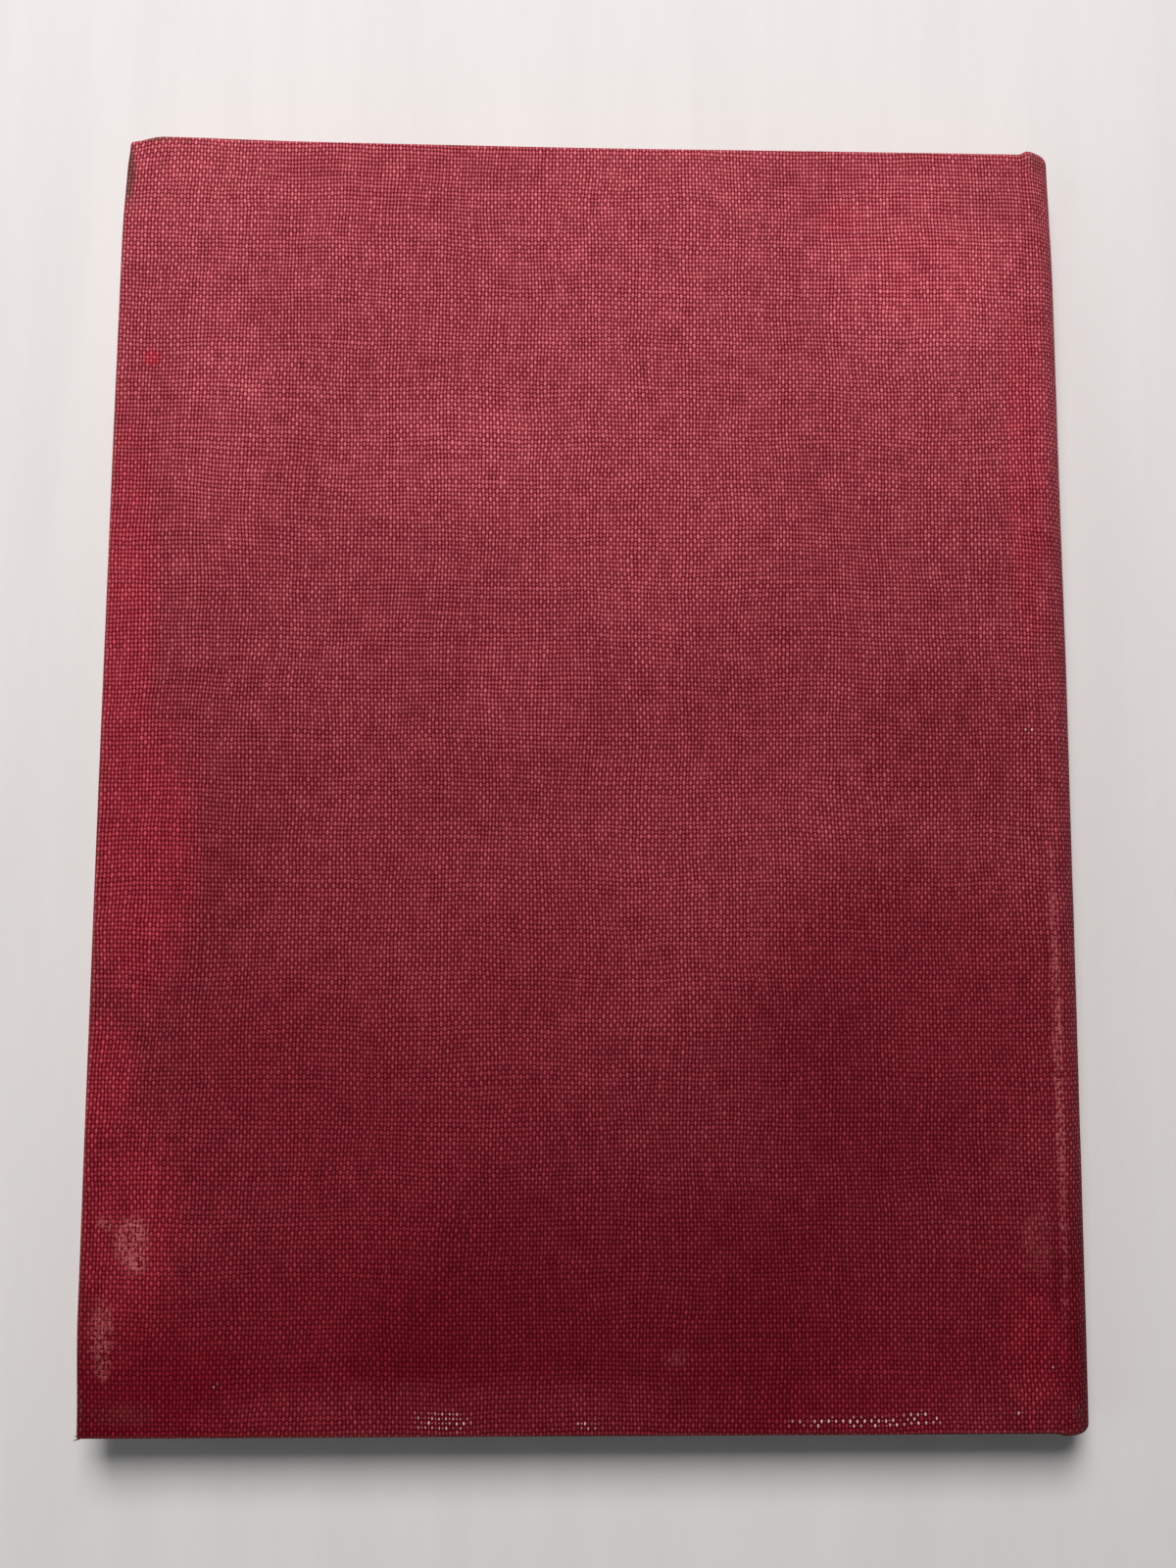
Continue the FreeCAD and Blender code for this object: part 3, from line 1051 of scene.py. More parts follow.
@dataclass(frozen=True)
class BoardWear:
    """How a cover's outline and face have been knocked and bent, in metres."""

    head_knock: float
    knock_reach: float
    corner_pull: float
    pull_reach: float
    bow: float
    head_lift: float
    lift_reach: float
    head_sag: float
    seed: float
    edge_share: float = 0.3
    sag_share: float = 1.35
    wave: float = 0.10 * MM
    ripple: float = 0.035 * MM
    sink: float = 0.06 * MM
    calm_reach: float = 8.0 * MM

    def moved(self, point: Vector, sizes: BookSizes) -> Vector:
        """Moves a point of a cover as the wear has moved it.

        Args:
            point: the point on the unworn cover, on the back cover's side.
            sizes: the book's sizes.

        Returns:
            The worn place.
        """
        share = (point.y - sizes.mid_y) / sizes.half_length
        inland = point.x - sizes.fore_x
        by_fore = 1 - smooth(inland / (self.edge_share * sizes.half_length))
        result = point.copy()
        result.x -= self.bow * (1 - share * share) * by_fore
        for corner_y in (sizes.head_y, sizes.tail_y):
            far = abs(point.y - corner_y) / self.pull_reach
            result.x += self.corner_pull * (1 - smooth(far)) * by_fore
        by_head = smooth((share - 1 + self.edge_share) / self.edge_share)
        lifted = smooth(inland / self.knock_reach) * (1 - smooth(inland / self.lift_reach))
        sagged = math.sin(math.pi * min(1.0, inland / (self.sag_share * sizes.half_length))) ** 2
        result.y += by_head * (self.head_lift * lifted - self.head_sag * sagged)
        push = self.head_knock * (1 - smooth(math.hypot(inland, point.y - sizes.head_y) / self.knock_reach))
        result += Vector((0.25 * push, -push, -0.3 * push))
        outer = smooth((point.z - sizes.turn_in_z) / sizes.cover_depth)
        calm = smooth((sizes.board_end_x - point.x) / self.calm_reach)
        result.z += outer * calm * self.dent(point)
        return result

    def dent(self, point: Vector) -> float:
        """Gives how far the cover's face stands out at a point.

        Args:
            point: the point on the unworn cover.

        Returns:
            The height of its slow waves and fine ripples together.
        """
        wave = noise.noise(Vector((point.x * 22 + self.seed, point.y * 22, self.seed)))
        ripple = noise.noise(Vector((point.x * 75, point.y * 75 + self.seed, 4.0)))
        return self.wave * wave + self.ripple * ripple - self.sink


WEAR = {
    Side.BACK: BoardWear(
        head_knock=0.75 * MM, knock_reach=7.0 * MM, corner_pull=0.65 * MM, pull_reach=22.0 * MM,
        bow=0.25 * MM, head_lift=0.45 * MM, lift_reach=42.0 * MM, head_sag=0.3 * MM, seed=1.7,
    ),
    Side.FRONT: BoardWear(
        head_knock=0.4 * MM, knock_reach=5.0 * MM, corner_pull=0.4 * MM, pull_reach=18.0 * MM,
        bow=0.1 * MM, head_lift=0.1 * MM, lift_reach=30.0 * MM, head_sag=0.1 * MM, seed=8.3,
    ),
}


@dataclass(frozen=True)
class Cover:
    """One cover: its board and the cloth drawn over it."""

    side: Side
    sizes: BookSizes
    pitch: float = 1.6 * MM
    corner_radius: float = 0.65 * MM
    edge_radius: float = 0.5 * MM
    joint_start: float = 0.2 * MM
    mitre_rise: float = 0.18 * MM
    board_margin: float = 0.12 * MM

    @property
    def end_x(self) -> float:
        """Where this cover's skin meets the joint."""
        return self.sizes.board_end_x + self.joint_start

    def make_cloth(self, material: Material) -> Piece:
        """Makes the cloth drawn over the board and turned in on three edges.

        Args:
            material: the cloth's finish.

        Returns:
            The piece, riding on its cover.
        """
        s, radius = self.sizes, self.corner_radius
        low = Vector((s.fore_x, s.tail_y, s.turn_in_z))
        high = Vector((self.end_x, s.head_y, s.top_z))
        bm = self.rounded_slab(low, high)
        window_x = s.fore_x + TURN_IN
        window_y = (s.tail_y + TURN_IN, s.head_y - TURN_IN)
        cut_grid(bm, 0, [window_x, *steps(s.fore_x + radius, self.end_x, self.pitch)])
        cut_grid(bm, 1, [*window_y, *steps(s.tail_y + radius, s.head_y - radius, self.pitch)])
        self.open_up(bm, window_x, window_y)
        self.crease_mitres(bm, window_x)
        store_cloth_map(bm, self.unroll)
        self.apply_wear(bm)
        piece = make_object(bm, f"{self.side.value}_cloth_skin", material)
        thicken(piece, s.cloth)
        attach(piece, self.side.body)
        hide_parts(f"{self.side.value}_cover_cloth")
        width = self.end_x - s.fore_x + s.cover_depth + TURN_IN
        length = 2 * (s.half_length + s.cover_depth + TURN_IN)
        cut_off = 2 * TURN_IN ** 2
        width * length - cut_off
        report(piece)
        return piece

    def rounded_slab(self, low: Vector, high: Vector) -> Mesh:
        """Makes a slab with rounded corners and edges, square at its spine end.

        Args:
            low: its lowest corner.
            high: its highest corner.

        Returns:
            The slab's mesh.
        """
        bm = bmesh.new()
        add_block(bm, low, high)
        middle_x, half_depth = (low.x + high.x) / 2, (high.z - low.z) / 2
        upright = [e for e in bm.edges if self.rise(e) > half_depth and e.verts[0].co.x < middle_x]
        self.round_edges(bm, upright, self.corner_radius, 5)
        end = high.x - self.corner_radius
        level = [e for e in bm.edges if self.rise(e) < half_depth and min(v.co.x for v in e.verts) < end]
        self.round_edges(bm, level, self.edge_radius, 4)
        return bm

    def rise(self, edge: Edge) -> float:
        """Gives how much higher one end of an edge lies than the other."""
        return abs(edge.verts[0].co.z - edge.verts[1].co.z)

    def round_edges(self, bm: Mesh, edges: list[Edge], radius: float, segments: int) -> None:
        """Rounds edges of the slab.

        Args:
            bm: the slab's mesh.
            edges: the edges.
            radius: how round they get.
            segments: in how many steps.
        """
        bmesh.ops.bevel(bm, geom=edges, offset=radius, affect="EDGES", segments=segments,
                        profile=0.5, material=-1)

    def open_up(self, bm: Mesh, window_x: float, window_y: tuple[float, float]) -> None:
        """Opens the slab at its spine end and inside the turned-in cloth.

        Args:
            bm: the slab's mesh.
            window_x: where the fore turn-in ends.
            window_y: where the turn-ins at the tail and the head end.
        """
        bm.normal_update()
        gone = []
        for face in bm.faces:
            centre = face.calc_center_median()
            open_end = face.normal.x > 0.9 and centre.x > self.end_x - 0.1 * MM
            in_window = centre.x > window_x and window_y[0] < centre.y < window_y[1]
            if open_end or (face.normal.z < -0.9 and in_window):
                gone.append(face)
        bmesh.ops.delete(bm, geom=gone, context="FACES")

    def crease_mitres(self, bm: Mesh, window_x: float) -> None:
        """Creases the turned-in cloth along its mitre at both fore corners.

        Args:
            bm: the cloth's mesh.
            window_x: where the fore turn-in ends.
        """
        s = self.sizes
        for corner_y, way in ((s.head_y, 1.0), (s.tail_y, -1.0)):
            faces = []
            for face in bm.faces:
                centre = face.calc_center_median()
                near = centre.x < window_x and way * (corner_y - centre.y) < TURN_IN
                if near and face.normal.z < -0.9:
                    faces.append(face)
            edges = list({e for f in faces for e in f.edges})
            verts = list({v for f in faces for v in f.verts})
            cut = bmesh.ops.bisect_plane(
                bm, geom=verts + edges + faces, dist=1e-6,
                plane_co=Vector((s.fore_x, corner_y, 0)), plane_no=Vector((1.0, way, 0.0)),
            )
            for part in cut["geom_cut"]:
                if isinstance(part, Point) and part.co.z < s.turn_in_z + 0.01 * MM:
                    part.co.z += self.mitre_rise

    def unroll(self, vert: Point, normal: Vector) -> tuple[float, float]:
        """Gives the place on the flat cloth of a point on the folded cloth.

        Args:
            vert: the point.
            normal: the way its face points.

        Returns:
            The place across and along the book.
        """
        s, point = self.sizes, vert.co
        drop, whole = s.top_z - point.z, s.cover_depth
        if normal.z > 0.7:
            return point.x, point.y
        if normal.z < -0.7:
            from_fore = point.x - s.fore_x
            from_end = min(s.head_y - point.y, point.y - s.tail_y)
            if from_fore < from_end:
                return s.fore_x - whole - from_fore, point.y
            if point.y > s.mid_y:
                return point.x, s.head_y + whole + (s.head_y - point.y)
            return point.x, s.tail_y - whole - (point.y - s.tail_y)
        if abs(normal.x) > abs(normal.y):
            return s.fore_x - drop, point.y
        return point.x, s.head_y + drop if normal.y > 0 else s.tail_y - drop

    def apply_wear(self, bm: Mesh) -> None:
        """Moves a cover's mesh as its wear has moved it, then puts it on its side.

        Args:
            bm: the mesh, made for the back cover's side.
        """
        for vert in bm.verts:
            vert.co = WEAR[self.side].moved(vert.co, self.sizes)
        if self.side is Side.FRONT:
            mirror_to_front(bm, self.sizes.mid_z)

    def make_board(self, material: Material) -> Piece:
        """Makes the millboard inside the cloth, bent as the cloth over it is.

        Args:
            material: the board's finish.

        Returns:
            The piece, riding on its cover.
        """
        low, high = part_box("back_board")
        bm = bmesh.new()
        add_block(bm, low, high)
        cut_grid(bm, 0, steps(low.x, high.x, 3 * self.pitch))
        cut_grid(bm, 1, steps(low.y, high.y, 3 * self.pitch))
        for vert in bm.verts:
            vert.co.x = max(vert.co.x, low.x + self.board_margin)
            vert.co.y = min(max(vert.co.y, low.y + self.board_margin), high.y - self.board_margin)
            vert.co.z = min(vert.co.z, high.z - self.board_margin)
        self.apply_wear(bm)
        piece = make_object(bm, f"{self.side.value}_board_core", material, 30.0)
        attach(piece, self.side.body)
        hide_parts(f"{self.side.value}_board")
        report(piece)
        return piece


@dataclass(frozen=True)
class CapSection:
    """The spine cloth's end, seen from the side: an outward bulge, then a lip rolled over the cord."""

    depth: float = 2.2 * MM
    shoulder: float = 1.3 * MM
    setback: float = 1.15 * MM
    bulge: float = 0.3 * MM
    lip: float = 1.1 * MM
    rest: float = 1.35 * MM
    steps: int = 8

    def points(self) -> list[tuple[float, float]]:
        """Lists the section from the spine's straight part to the end of the lip.

        Returns:
            Each point's place past the cap's end and its depth under the spine's surface.
        """
        rows = []
        for k in range(self.steps + 1):
            turn = math.pi / 2 * k / self.steps
            away = -self.setback + (self.setback + self.bulge) * math.sin(turn)
            rows.append((away, self.shoulder * (1 - math.cos(turn))))
        for share in (0.33, 0.67):
            drop = self.shoulder + (self.depth - self.shoulder) * share
            rows.append((self.bulge * (1 - smooth(share)), drop))
        for k in range(self.steps + 1):
            turn = math.pi * k / self.steps
            rows.append((self.lip * (math.cos(turn) - 1), self.depth + self.lip * math.sin(turn)))
        return rows


@dataclass(frozen=True)
class JointCloth:
    """The strip of cloth that lies in the joint between a cover and the spine."""

    side: Side
    sizes: BookSizes
    cover_end_x: float
    valley: float = 0.16 * MM
    fold_radius: float = 0.47 * MM
    cap_reach: float = 8.0 * MM
    bend_reach: float = 0.55 * MM
    thickness: float = 0.4 * MM
    straight_rows: int = 72
    across: int = 22
    pitch: float = 1.8 * MM

    def surface(self, share: float) -> tuple[float, float]:
        """Gives a place on the joint's outer surface.

        Args:
            share: how far it is from the cover at 0 to the spine at 1.

        Returns:
            Its X and Z.
        """
        s = self.sizes
        x = self.cover_end_x + (s.spine_x - self.cover_end_x) * share
        level = s.top_z + (s.spine_top_z - s.top_z) * smooth(share)
        return x, level - self.valley * math.sin(math.pi * share) ** 2

    def path(self, end: Sequence[tuple[float, float]], rest: float) -> list[tuple[float, float, float]]:
        """Lists the strip's rows from the middle of the book to the turn-in's end.

        Args:
            end: the section of the strip's end, as places past the end and depths.
            rest: how deep the turn-in lies under the surface.

        Returns:
            For each row its place along the book from the end, its depth and its place on the flat cloth.
        """
        start = end[0][0]
        reach = self.sizes.half_length + start
        rows = [(start - reach, 0.0)]
        rows += [(start - reach + d, 0.0) for d in steps(0.0, reach, reach / self.straight_rows)]
        rows += end
        away, drop = rows[-1]
        rows.append((away - abs(drop - rest), rest))
        rows += [(away - far, rest) for far in (*steps(2 * self.pitch, TURN_IN, self.pitch), TURN_IN)]
        travelled, placed = 0.0, []
        for k, row in enumerate(rows):
            travelled += math.dist(row, rows[k - 1]) if k else 0.0
            placed.append((*row, travelled))
        return placed

    def fold(self, count: int) -> list[tuple[float, float]]:
        """Lists a plain half-round fold.

        Args:
            count: how many points it has, the same as the cap's section.

        Returns:
            Each point's place past the end and its depth.
        """
        turns = [math.pi * k / (count - 1) for k in range(count)]
        return [(self.fold_radius * (math.sin(t) - 1), self.fold_radius * (1 - math.cos(t))) for t in turns]

    def make(self, material: Material) -> Piece:
        """Makes the strip, folded back under itself at head and tail.

        Args:
            material: the cloth's finish.

        Returns:
            The piece, bending between the spine and its cover.
        """
        s, section = self.sizes, CapSection()
        cap = section.points()
        folded = self.path(self.fold(len(cap)), 2 * self.fold_radius)
        capped = self.path(cap, section.rest)
        count = 2 * (len(folded) - 1)
        bm = bmesh.new()
        bmesh.ops.create_grid(bm, x_segments=self.across, y_segments=count, size=0.5)
        flat = {}
        for vert in bm.verts:
            share = vert.co.x + 0.5
            row = round((vert.co.y + 0.5) * count) - count // 2
            way = 1.0 if row >= 0 else -1.0
            cover_end, cap_end = (s.head_y, s.head_cap_y) if way > 0 else (s.tail_y, s.tail_cap_y)
            weight = smooth(share)
            away, drop, along = (a + (b - a) * weight for a, b in zip(folded[abs(row)], capped[abs(row)]))
            x, z = self.surface(share)
            end = cover_end + (cap_end - cover_end) * weight * smooth(1 + away / self.cap_reach)
            flat[vert] = (x, s.mid_y + way * along)
            vert.co = Vector((x, end + way * away, z - drop))
        store_cloth_map(bm, lambda vert, _: flat[vert])
        if self.side is Side.FRONT:
            mirror_to_front(bm, s.mid_z)
        piece = make_object(bm, f"{self.side.value}_joint_cloth", material, 80.0)
        thicken(piece, self.thickness, even=False)
        reach = self.bend_reach * self.side.bend_share
        start = Vector((s.hinge_x + reach, 0.0, 0.0))
        end = Vector((s.hinge_x - reach, 0.0, 0.0))
        self.side.body
        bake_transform(piece)
        report(piece)
        return piece


@dataclass(frozen=True)
class EndpaperFold:
    """The endpaper's fold in the joint, from the flyleaf up beside the hinge to the pastedown."""

    side: Side
    sizes: BookSizes
    paper: float = 0.15 * MM
    pitch: float = 4.0 * MM
    clearance: float = 0.95 * MM
    root_gap: float = 0.1 * MM
    cover_gap: float = 0.12 * MM
    bend_share: float = 0.95
    arch_steps: int = 12

    def make(self, material: Material) -> Piece:
        """Makes the fold.

        Args:
            material: the paper's finish.

        Returns:
            The piece, bending between the leaves and its cover.
        """
        s = self.sizes
        root_x, cover_x = s.leaves_end_x + self.root_gap, s.board_end_x + self.cover_gap
        middle, radius = (root_x + cover_x) / 2, (root_x - cover_x) / 2
        spring = s.board_z - self.clearance - radius
        pasted_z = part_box("back_gauze_flange")[0].z
        turns = [math.pi * k / self.arch_steps for k in range(self.arch_steps + 1)]
        path = [
            (root_x, s.flyleaf_z),
            *((middle + radius * math.cos(t), spring + radius * math.sin(t)) for t in turns),
            (cover_x, pasted_z),
        ]
        bm = bmesh.new()
        verts = [bm.verts.new((x, s.leaves_tail_y, z)) for x, z in path]
        edges = [bm.edges.new(pair) for pair in zip(verts, verts[1:])]
        length = s.leaves_head_y - s.leaves_tail_y
        count = round(length / self.pitch)
        for _ in range(count):
            grown = bmesh.ops.extrude_edge_only(bm, edges=edges)["geom"]
            moving = [g for g in grown if isinstance(g, Point)]
            edges = [g for g in grown if isinstance(g, Edge)]
            bmesh.ops.translate(bm, vec=Vector((0, length / count, 0)), verts=moving)
        bmesh.ops.recalc_face_normals(bm, faces=bm.faces[:])
        if self.side is Side.FRONT:
            mirror_to_front(bm, s.mid_z)
        piece = make_object(bm, f"{self.side.value}_endpaper_fold", material, 60.0)
        thicken(piece, self.paper, offset=0.0, even=False)
        reach = self.bend_share * radius * self.side.bend_share
        start = Vector((middle + reach, 0.0, 0.0))
        end = Vector((middle - reach, 0.0, 0.0))
        self.side.body
        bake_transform(piece)
        report(piece)
        return piece


@dataclass(frozen=True)
class SpineRoll:
    """The spine's cloth, rolled over a cord at head and tail into the caps."""

    sizes: BookSizes
    pitch: float = 2.0 * MM
    round_steps: int = 28
    bow: float = 0.35 * MM
    head_nip: float = 0.35 * MM
    dent: float = 0.10 * MM
    ripple: float = 0.03 * MM
    calm_reach: float = 2.5 * MM

    def section(self, way: float) -> list[tuple[float, float]]:
        """Gives radius and Y of the cloth's section at one end.

        Args:
            way: 1 at the head and -1 at the tail.

        Returns:
            The points from the turn-in's end, round the cap, to where the straight part starts.
        """
        s, section = self.sizes, CapSection()
        end = s.head_cap_y if way > 0 else s.tail_cap_y
        cover = s.head_y if way > 0 else s.tail_y
        cap = [(s.spine_radius - depth, end + way * away) for away, depth in section.points()]
        inner = s.spine_radius - section.rest
        lip_radius, lip_y = cap[-1]
        return [(inner, cover - way * TURN_IN), (inner, lip_y - way * (inner - lip_radius))] + cap[::-1]

    def make(self, material: Material) -> Piece:
        """Makes the rolled cloth.

        Args:
            material: the cloth's finish.

        Returns:
            The piece, riding on the spine.
        """
        s = self.sizes
        tail, head = self.section(-1.0), self.section(1.0)
        middle = [(s.spine_radius, y) for y in steps(tail[-1][1], head[-1][1], self.pitch)]
        path = tail + middle + head[::-1]
        travelled = [0.0]
        for point, last in zip(path[1:], path):
            travelled.append(travelled[-1] + math.dist(point, last))
        offset = travelled[len(tail)] - middle[0][1]
        bm = bmesh.new()
        layer = bm.verts.layers.float.new("along")
        verts = []
        for (radius, y), far in zip(path, travelled):
            vert = bm.verts.new((s.spine_x, y, s.mid_z + radius))
            vert[layer] = far - offset
            verts.append(vert)
        edges = [bm.edges.new(pair) for pair in zip(verts, verts[1:])]
        bmesh.ops.spin(
            bm, geom=verts + edges, cent=Vector((s.spine_x, 0, s.mid_z)), axis=Vector((0, 1, 0)),
            angle=math.pi, steps=self.round_steps, use_merge=False,
        )
        bmesh.ops.recalc_face_normals(bm, faces=bm.faces[:])
        self.face_outwards(bm)
        store_cloth_map(bm, lambda vert, _: (self.unroll(vert.co), vert[layer]))
        for vert in bm.verts:
            vert.co = self.worn(vert.co)
        piece = make_object(bm, "spine_cloth_roll", material, 60.0)
        thicken(piece, s.cloth)
        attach(piece, SPINE_BODY)
        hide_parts("spine_cloth")
        report(piece)
        return piece

    def unroll(self, point: Vector) -> float:
        """Gives a point's place across the flat cloth, from its angle round the spine."""
        angle = math.atan2(point.x - self.sizes.spine_x, point.z - self.sizes.mid_z)
        return self.sizes.spine_x + angle * self.sizes.spine_radius

    def face_outwards(self, bm: Mesh) -> None:
        """Turns the roll's faces so that its straight part faces away from the spine's centre.

        Args:
            bm: the roll's mesh.
        """
        probe = max(bm.faces, key=lambda f: f.calc_center_median().x - abs(f.calc_center_median().y))
        centre = probe.calc_center_median()
        if probe.normal.dot(centre - Vector((self.sizes.spine_x, centre.y, self.sizes.mid_z))) < 0:
            bmesh.ops.reverse_faces(bm, faces=bm.faces[:])

    def worn(self, point: Vector) -> Vector:
        """Moves a point of the roll by its small dents, none where it meets the joints.

        Args:
            point: the point on the unworn roll.

        Returns:
            The worn place.
        """
        s = self.sizes
        out, up = point.x - s.spine_x, point.z - s.mid_z
        dent = noise.noise(Vector((point.x * 60, point.y * 35, point.z * 60)))
        fine = noise.noise(Vector((point.x * 200, point.y * 120, point.z * 200)))
        share = (point.y - s.mid_y) / s.half_length
        swell = self.bow * (1 - share * share) - self.head_nip * smooth((share - 0.8) / 0.2)
        swell *= smooth((math.hypot(out, up) / s.spine_radius - 0.7) / 0.2)
        away = Vector((out, 0, up)).normalized() * smooth(out / self.calm_reach)
        return point + away * (self.dent * dent + self.ripple * fine + swell)


@dataclass(frozen=True)
class Leaves:
    """The text block: thin leaves with a hollow fore edge, fanned into shoulders at the back."""

    sizes: BookSizes
    count: int = 56
    fill: float = 0.97
    hollow: float = 1.0 * MM
    stagger: float = 0.12 * MM
    seed: int = 11

    def make(self, material: Material) -> Piece:
        """Makes the stack of leaves.

        Args:
            material: the finish of the leaves' edges.

        Returns:
            The piece, riding with the spine.
        """
        s = self.sizes
        luck = random.Random(self.seed)
        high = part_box("text_block")[1]
        half_stack = s.leaves_z - s.mid_z
        leaf = 2 * half_stack / self.count
        back_radius = high.x - s.spine_x
        fan = (high.z - s.mid_z) / half_stack
        bm = bmesh.new()
        for k in range(self.count):
            rise = leaf * (k + 0.5) - half_stack
            share = rise / half_stack
            fore = s.leaves_fore_x + self.hollow * (1 - share * share) + luck.uniform(0, self.stagger)
            back = s.spine_x + math.sqrt(max(0.0, back_radius ** 2 - (rise * fan) ** 2))
            head = s.leaves_head_y - luck.uniform(0, self.stagger)
            tail = s.leaves_tail_y + luck.uniform(0, self.stagger)
            centre, half = s.mid_z + rise, self.fill * leaf / 2
            made = add_block(bm, Vector((fore, tail, centre - half)), Vector((back, head, centre + half)))
            self.fan_back(bm, made, fan)
        piece = make_object(bm, "text_block_leaves", material, 20.0)
        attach(piece, SPINE_BODY)
        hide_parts("text_block")
        report(piece)
        return piece

    def fan_back(self, bm: Mesh, verts: list[Point], fan: float) -> None:
        """Cuts a leaf at the shoulder and spreads its back part.

        Args:
            bm: the stack's mesh.
            verts: the leaf's corners.
            fan: how much the back edges spread from the middle.
        """
        s = self.sizes
        edges = list({e for v in verts for e in v.link_edges})
        faces = list({f for v in verts for f in v.link_faces})
        bmesh.ops.bisect_plane(
            bm, geom=verts + edges + faces, dist=1e-7,
            plane_co=Vector((s.leaves_end_x, 0, 0)), plane_no=Vector((1, 0, 0)),
        )
        for vert in verts:
            if vert.co.x > s.leaves_end_x + 0.01 * MM:
                vert.co.z = s.mid_z + (vert.co.z - s.mid_z) * fan


@dataclass(frozen=True)
class FrayedCorner:
    """A few broken threads standing out of the back cover's worn tail corner."""

    sizes: BookSizes
    count: int = 16
    length: float = 0.7 * MM
    thickness: float = 0.17 * MM
    spread: float = 0.4 * MM
    bend: float = 0.45
    links: int = 6
    tip: float = 0.4
    seed: int = 5

    def make(self, material: Material) -> Piece:
        """Makes the threads.

        Args:
            material: the threads' finish.

        Returns:
            The piece, riding on the back cover.
        """
        s = self.sizes
        luck = random.Random(self.seed)
        bm = bmesh.new()
        base = Vector((s.fore_x + 1.0 * MM, s.tail_y + 0.35 * MM, s.top_z - 0.8 * MM))
        for _ in range(self.count):
            start = base + Vector([luck.uniform(-self.spread, self.spread) for _ in range(3)])
            heading = Vector((luck.uniform(-0.9, 0.2), luck.uniform(-1.0, -0.3), luck.uniform(-0.2, 0.3)))
            self.add_thread(bm, start, heading.normalized(), luck)
        piece = make_object(bm, "tail_corner_fray", material, 80.0)
        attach(piece, Side.BACK.body)
        report(piece)
        return piece

    def add_thread(self, bm: Mesh, start: Vector, heading: Vector, luck: random.Random) -> None:
        """Grows one thread by extruding a small ring along a wandering line.

        Args:
            bm: the mesh that gets the thread.
            start: its root in the cloth.
            heading: the way it starts out.
            luck: the seeded source of its bends.
        """
        place = Matrix.Translation(start) @ heading.to_track_quat("Z", "Y").to_matrix().to_4x4()
        radius = self.thickness / 2
        ring = bmesh.ops.create_circle(bm, cap_ends=True, radius=radius, segments=6, matrix=place)["verts"]
        face = ring[0].link_faces[0]
        step = self.length * luck.uniform(0.6, 1.1) / self.links
        for _ in range(self.links):
            face = bmesh.ops.extrude_discrete_faces(bm, faces=[face])["faces"][0]
            bend = Vector([luck.uniform(-self.bend, self.bend) for _ in range(3)])
            heading = (heading + bend).normalized()
            bmesh.ops.translate(bm, vec=heading * step, verts=face.verts[:])
        centre = Matrix.Translation(-face.calc_center_median())
        bmesh.ops.scale(bm, vec=Vector((self.tip, self.tip, self.tip)), verts=face.verts[:], space=centre)


class Bindery:
    """Builds the whole book: finishes first, then each sub-assembly in order."""

    def __init__(self, sizes: BookSizes) -> None:
        """Keeps the sizes and builds the finishes.

        Args:
            sizes: the book's sizes.
        """
        self.sizes = sizes
        effects = SharedEffects()
        self.back_cloth = BookCloth("back_cloth", sizes, marked=True).build(effects)
        self.plain_cloth = BookCloth("plain_cloth", sizes, marked=False).build(effects)
        self.paper = Paper("endpaper", sizes).build(effects)
        self.edges = LeafEdges("leaf_edges").build()
        self.board = FibreFinish(
            "millboard", (0.36, 0.30, 0.21), (0.20, 0.16, 0.11), (900, 900, 4000), 0.9, 0.05 * MM
        ).build()
        self.lining = FibreFinish(
            "lining_paper", (0.40, 0.28, 0.17), (0.24, 0.16, 0.09), (700, 2600, 700), 0.85, 0.03 * MM
        ).build()
        self.gauze = FibreFinish(
            "gauze", (0.70, 0.64, 0.52), (0.42, 0.37, 0.28), (2200, 2200, 2200), 0.92, 0.08 * MM
        ).build()
        self.cord = FibreFinish(
            "hemp_cord", (0.62, 0.52, 0.37), (0.34, 0.26, 0.17), (1500, 1500, 5200), 0.9, 0.1 * MM
        ).build()
        self.thread = FibreFinish(
            "frayed_thread", (0.20, 0.03, 0.035), (0.06, 0.012, 0.014), (9000, 9000, 9000), 0.9, 0.02 * MM
        ).build()

    def build(self) -> None:
        """Builds and dresses every piece."""
        for side in Side:
            cover = Cover(side, self.sizes)
            cloth = self.back_cloth if side is Side.BACK else self.plain_cloth
            cover.make_cloth(cloth)
            cover.make_board(self.board)
            JointCloth(side, self.sizes, cover.end_x).make(cloth)
            EndpaperFold(side, self.sizes).make(self.paper)
        SpineRoll(self.sizes).make(self.back_cloth)
        Leaves(self.sizes).make(self.edges)
        FrayedCorner(self.sizes).make(self.thread)
        self.dress_nodes()

    def dress_nodes(self) -> None:
        """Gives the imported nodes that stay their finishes, by the last word of their names."""
        finishes = {
            "pastedown": self.paper,
            "flyleaf": self.paper,
            "flange": self.gauze,
            "gauze": self.gauze,
            "lining": self.lining,
            "strip": self.board,
            "cord": self.cord,
        }
        for name, node in frame["nodes"].items():
            finish = finishes.get(name.rsplit("_", 1)[-1])
            if finish is not None:
                node.data.materials.clear()
                node.data.materials.append(finish)
                LOG.info("%s: dressed with %s", name, finish.name)


@dataclass(frozen=True)
class Lamp:
    """A soft square lamp that points at the book, in metres and watts."""

    name: str
    place: Triple
    size: float
    power: float
    colour: Colour

    def make(self) -> None:
        """Makes the lamp."""
        lamp = bpy.data.lights.new(self.name, "AREA")
        lamp.size = self.size
        lamp.energy = self.power
        lamp.color = self.colour
        made = bpy.data.objects.new(self.name, lamp)
        made.location = self.place
        made.rotation_euler = (-Vector(self.place)).to_track_quat("-Z", "Y").to_euler()
        bpy.context.scene.collection.objects.link(made)


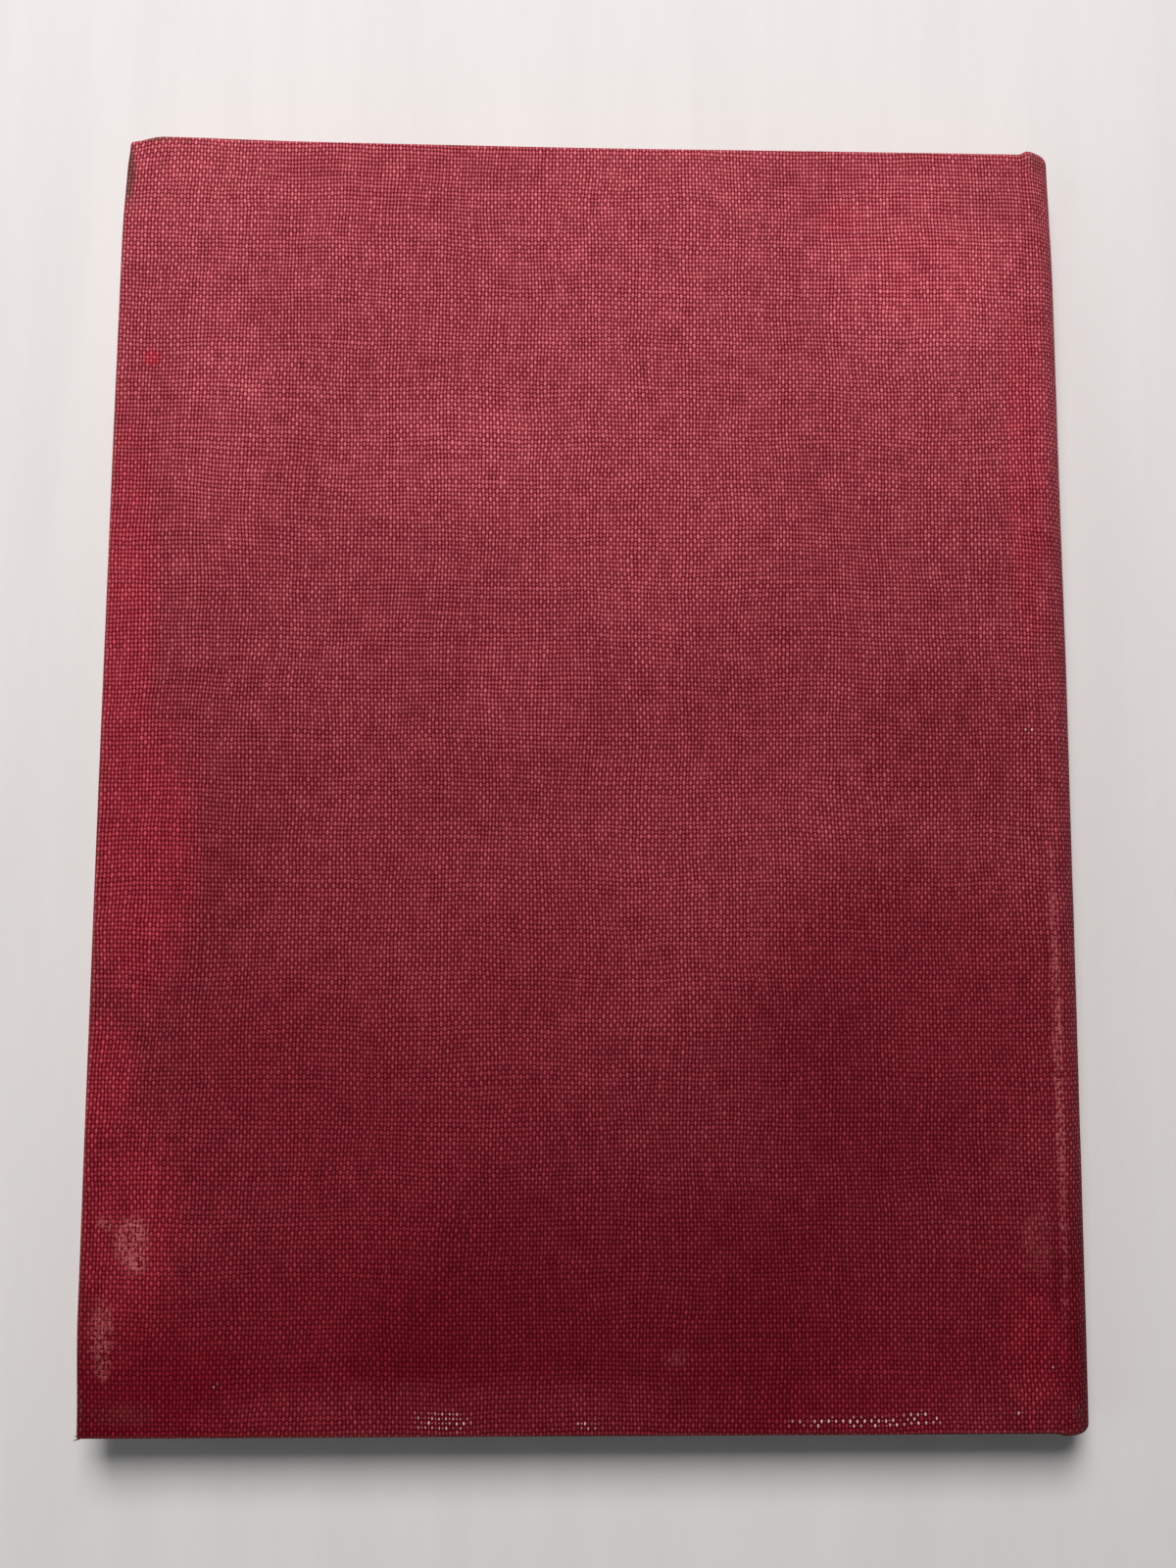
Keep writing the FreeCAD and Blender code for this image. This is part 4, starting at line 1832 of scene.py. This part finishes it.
@dataclass(frozen=True)
class Studio:
    """The pale floor, the soft light and the camera that looks down on the book."""

    lamps: tuple[Lamp, ...] = (
        Lamp("window", (-0.10, 0.78, 0.98), 0.6, 16.3, (1.0, 0.945, 0.93)),
        Lamp("fill", (-0.8, -0.1, 0.5), 0.6, 0.9, (0.93, 0.97, 1.0)),
    )
    sky: Colour = (0.93, 0.97, 1.0)
    sky_strength: float = 0.07
    camera_place: Triple = (-8.33 * MM, -34.91 * MM, 287.66 * MM)
    camera_look: Triple = (0.02673, 0.10759, -0.99384)
    camera_up: Triple = (-0.00712, 0.99419, 0.10743)
    lens_mm: float = 32.62
    sensor_mm: float = 36.0
    floor_size: float = 4.0
    floor_drop: float = 0.05 * MM

    def build(self) -> None:
        """Builds the floor, the lamps, the world and the camera."""
        self.make_floor()
        for lamp in self.lamps:
            lamp.make()
        world = bpy.data.worlds.new("world")
        world.use_nodes = True
        background = world.node_tree.nodes["Background"]
        background.inputs["Color"].default_value = (*self.sky, 1.0)
        background.inputs["Strength"].default_value = self.sky_strength
        bpy.context.scene.world = world
        bpy.context.scene.view_settings.view_transform = "Standard"
        self.make_camera()

    def make_floor(self) -> None:
        """Makes the plain pale floor."""
        bm = bmesh.new()
        bmesh.ops.create_grid(bm, x_segments=8, y_segments=8, size=self.floor_size / 2)
        bmesh.ops.translate(bm, vec=Vector((0, 0, -self.floor_drop)), verts=bm.verts[:])
        n = MaterialBuilder("pale_floor")
        grain = n.noise(n.vector("MULTIPLY", n.place, (60.0, 6.0, 1.0)), 1.0, 4.0, 0.6)
        tint = n.mix(n.ramp(grain, 0.3, 0.7), (0.80, 0.80, 0.79), (0.84, 0.84, 0.83))
        make_object(bm, "floor", n.finish(tint, 0.7, 0.2))

    def make_camera(self) -> None:
        """Makes the camera, aimed by the directions that it looks in and that are up in its picture."""
        camera = bpy.data.cameras.new("camera")
        camera.lens = self.lens_mm
        camera.sensor_width = self.sensor_mm
        camera.clip_start = 0.01
        made = bpy.data.objects.new("camera", camera)
        back = -Vector(self.camera_look).normalized()
        right = Vector(self.camera_up).cross(back).normalized()
        turn = Matrix((right, back.cross(right), back)).transposed().to_4x4()
        made.matrix_world = Matrix.Translation(self.camera_place) @ turn
        bpy.context.scene.collection.objects.link(made)
        bpy.context.scene.camera = made


def main() -> None:
    """Builds the studio and the book."""
    logging.basicConfig(level=logging.INFO, format="%(message)s")
    Studio().build()
    Bindery(BookSizes.from_frame()).build()


if __name__ == "__main__":
    main()
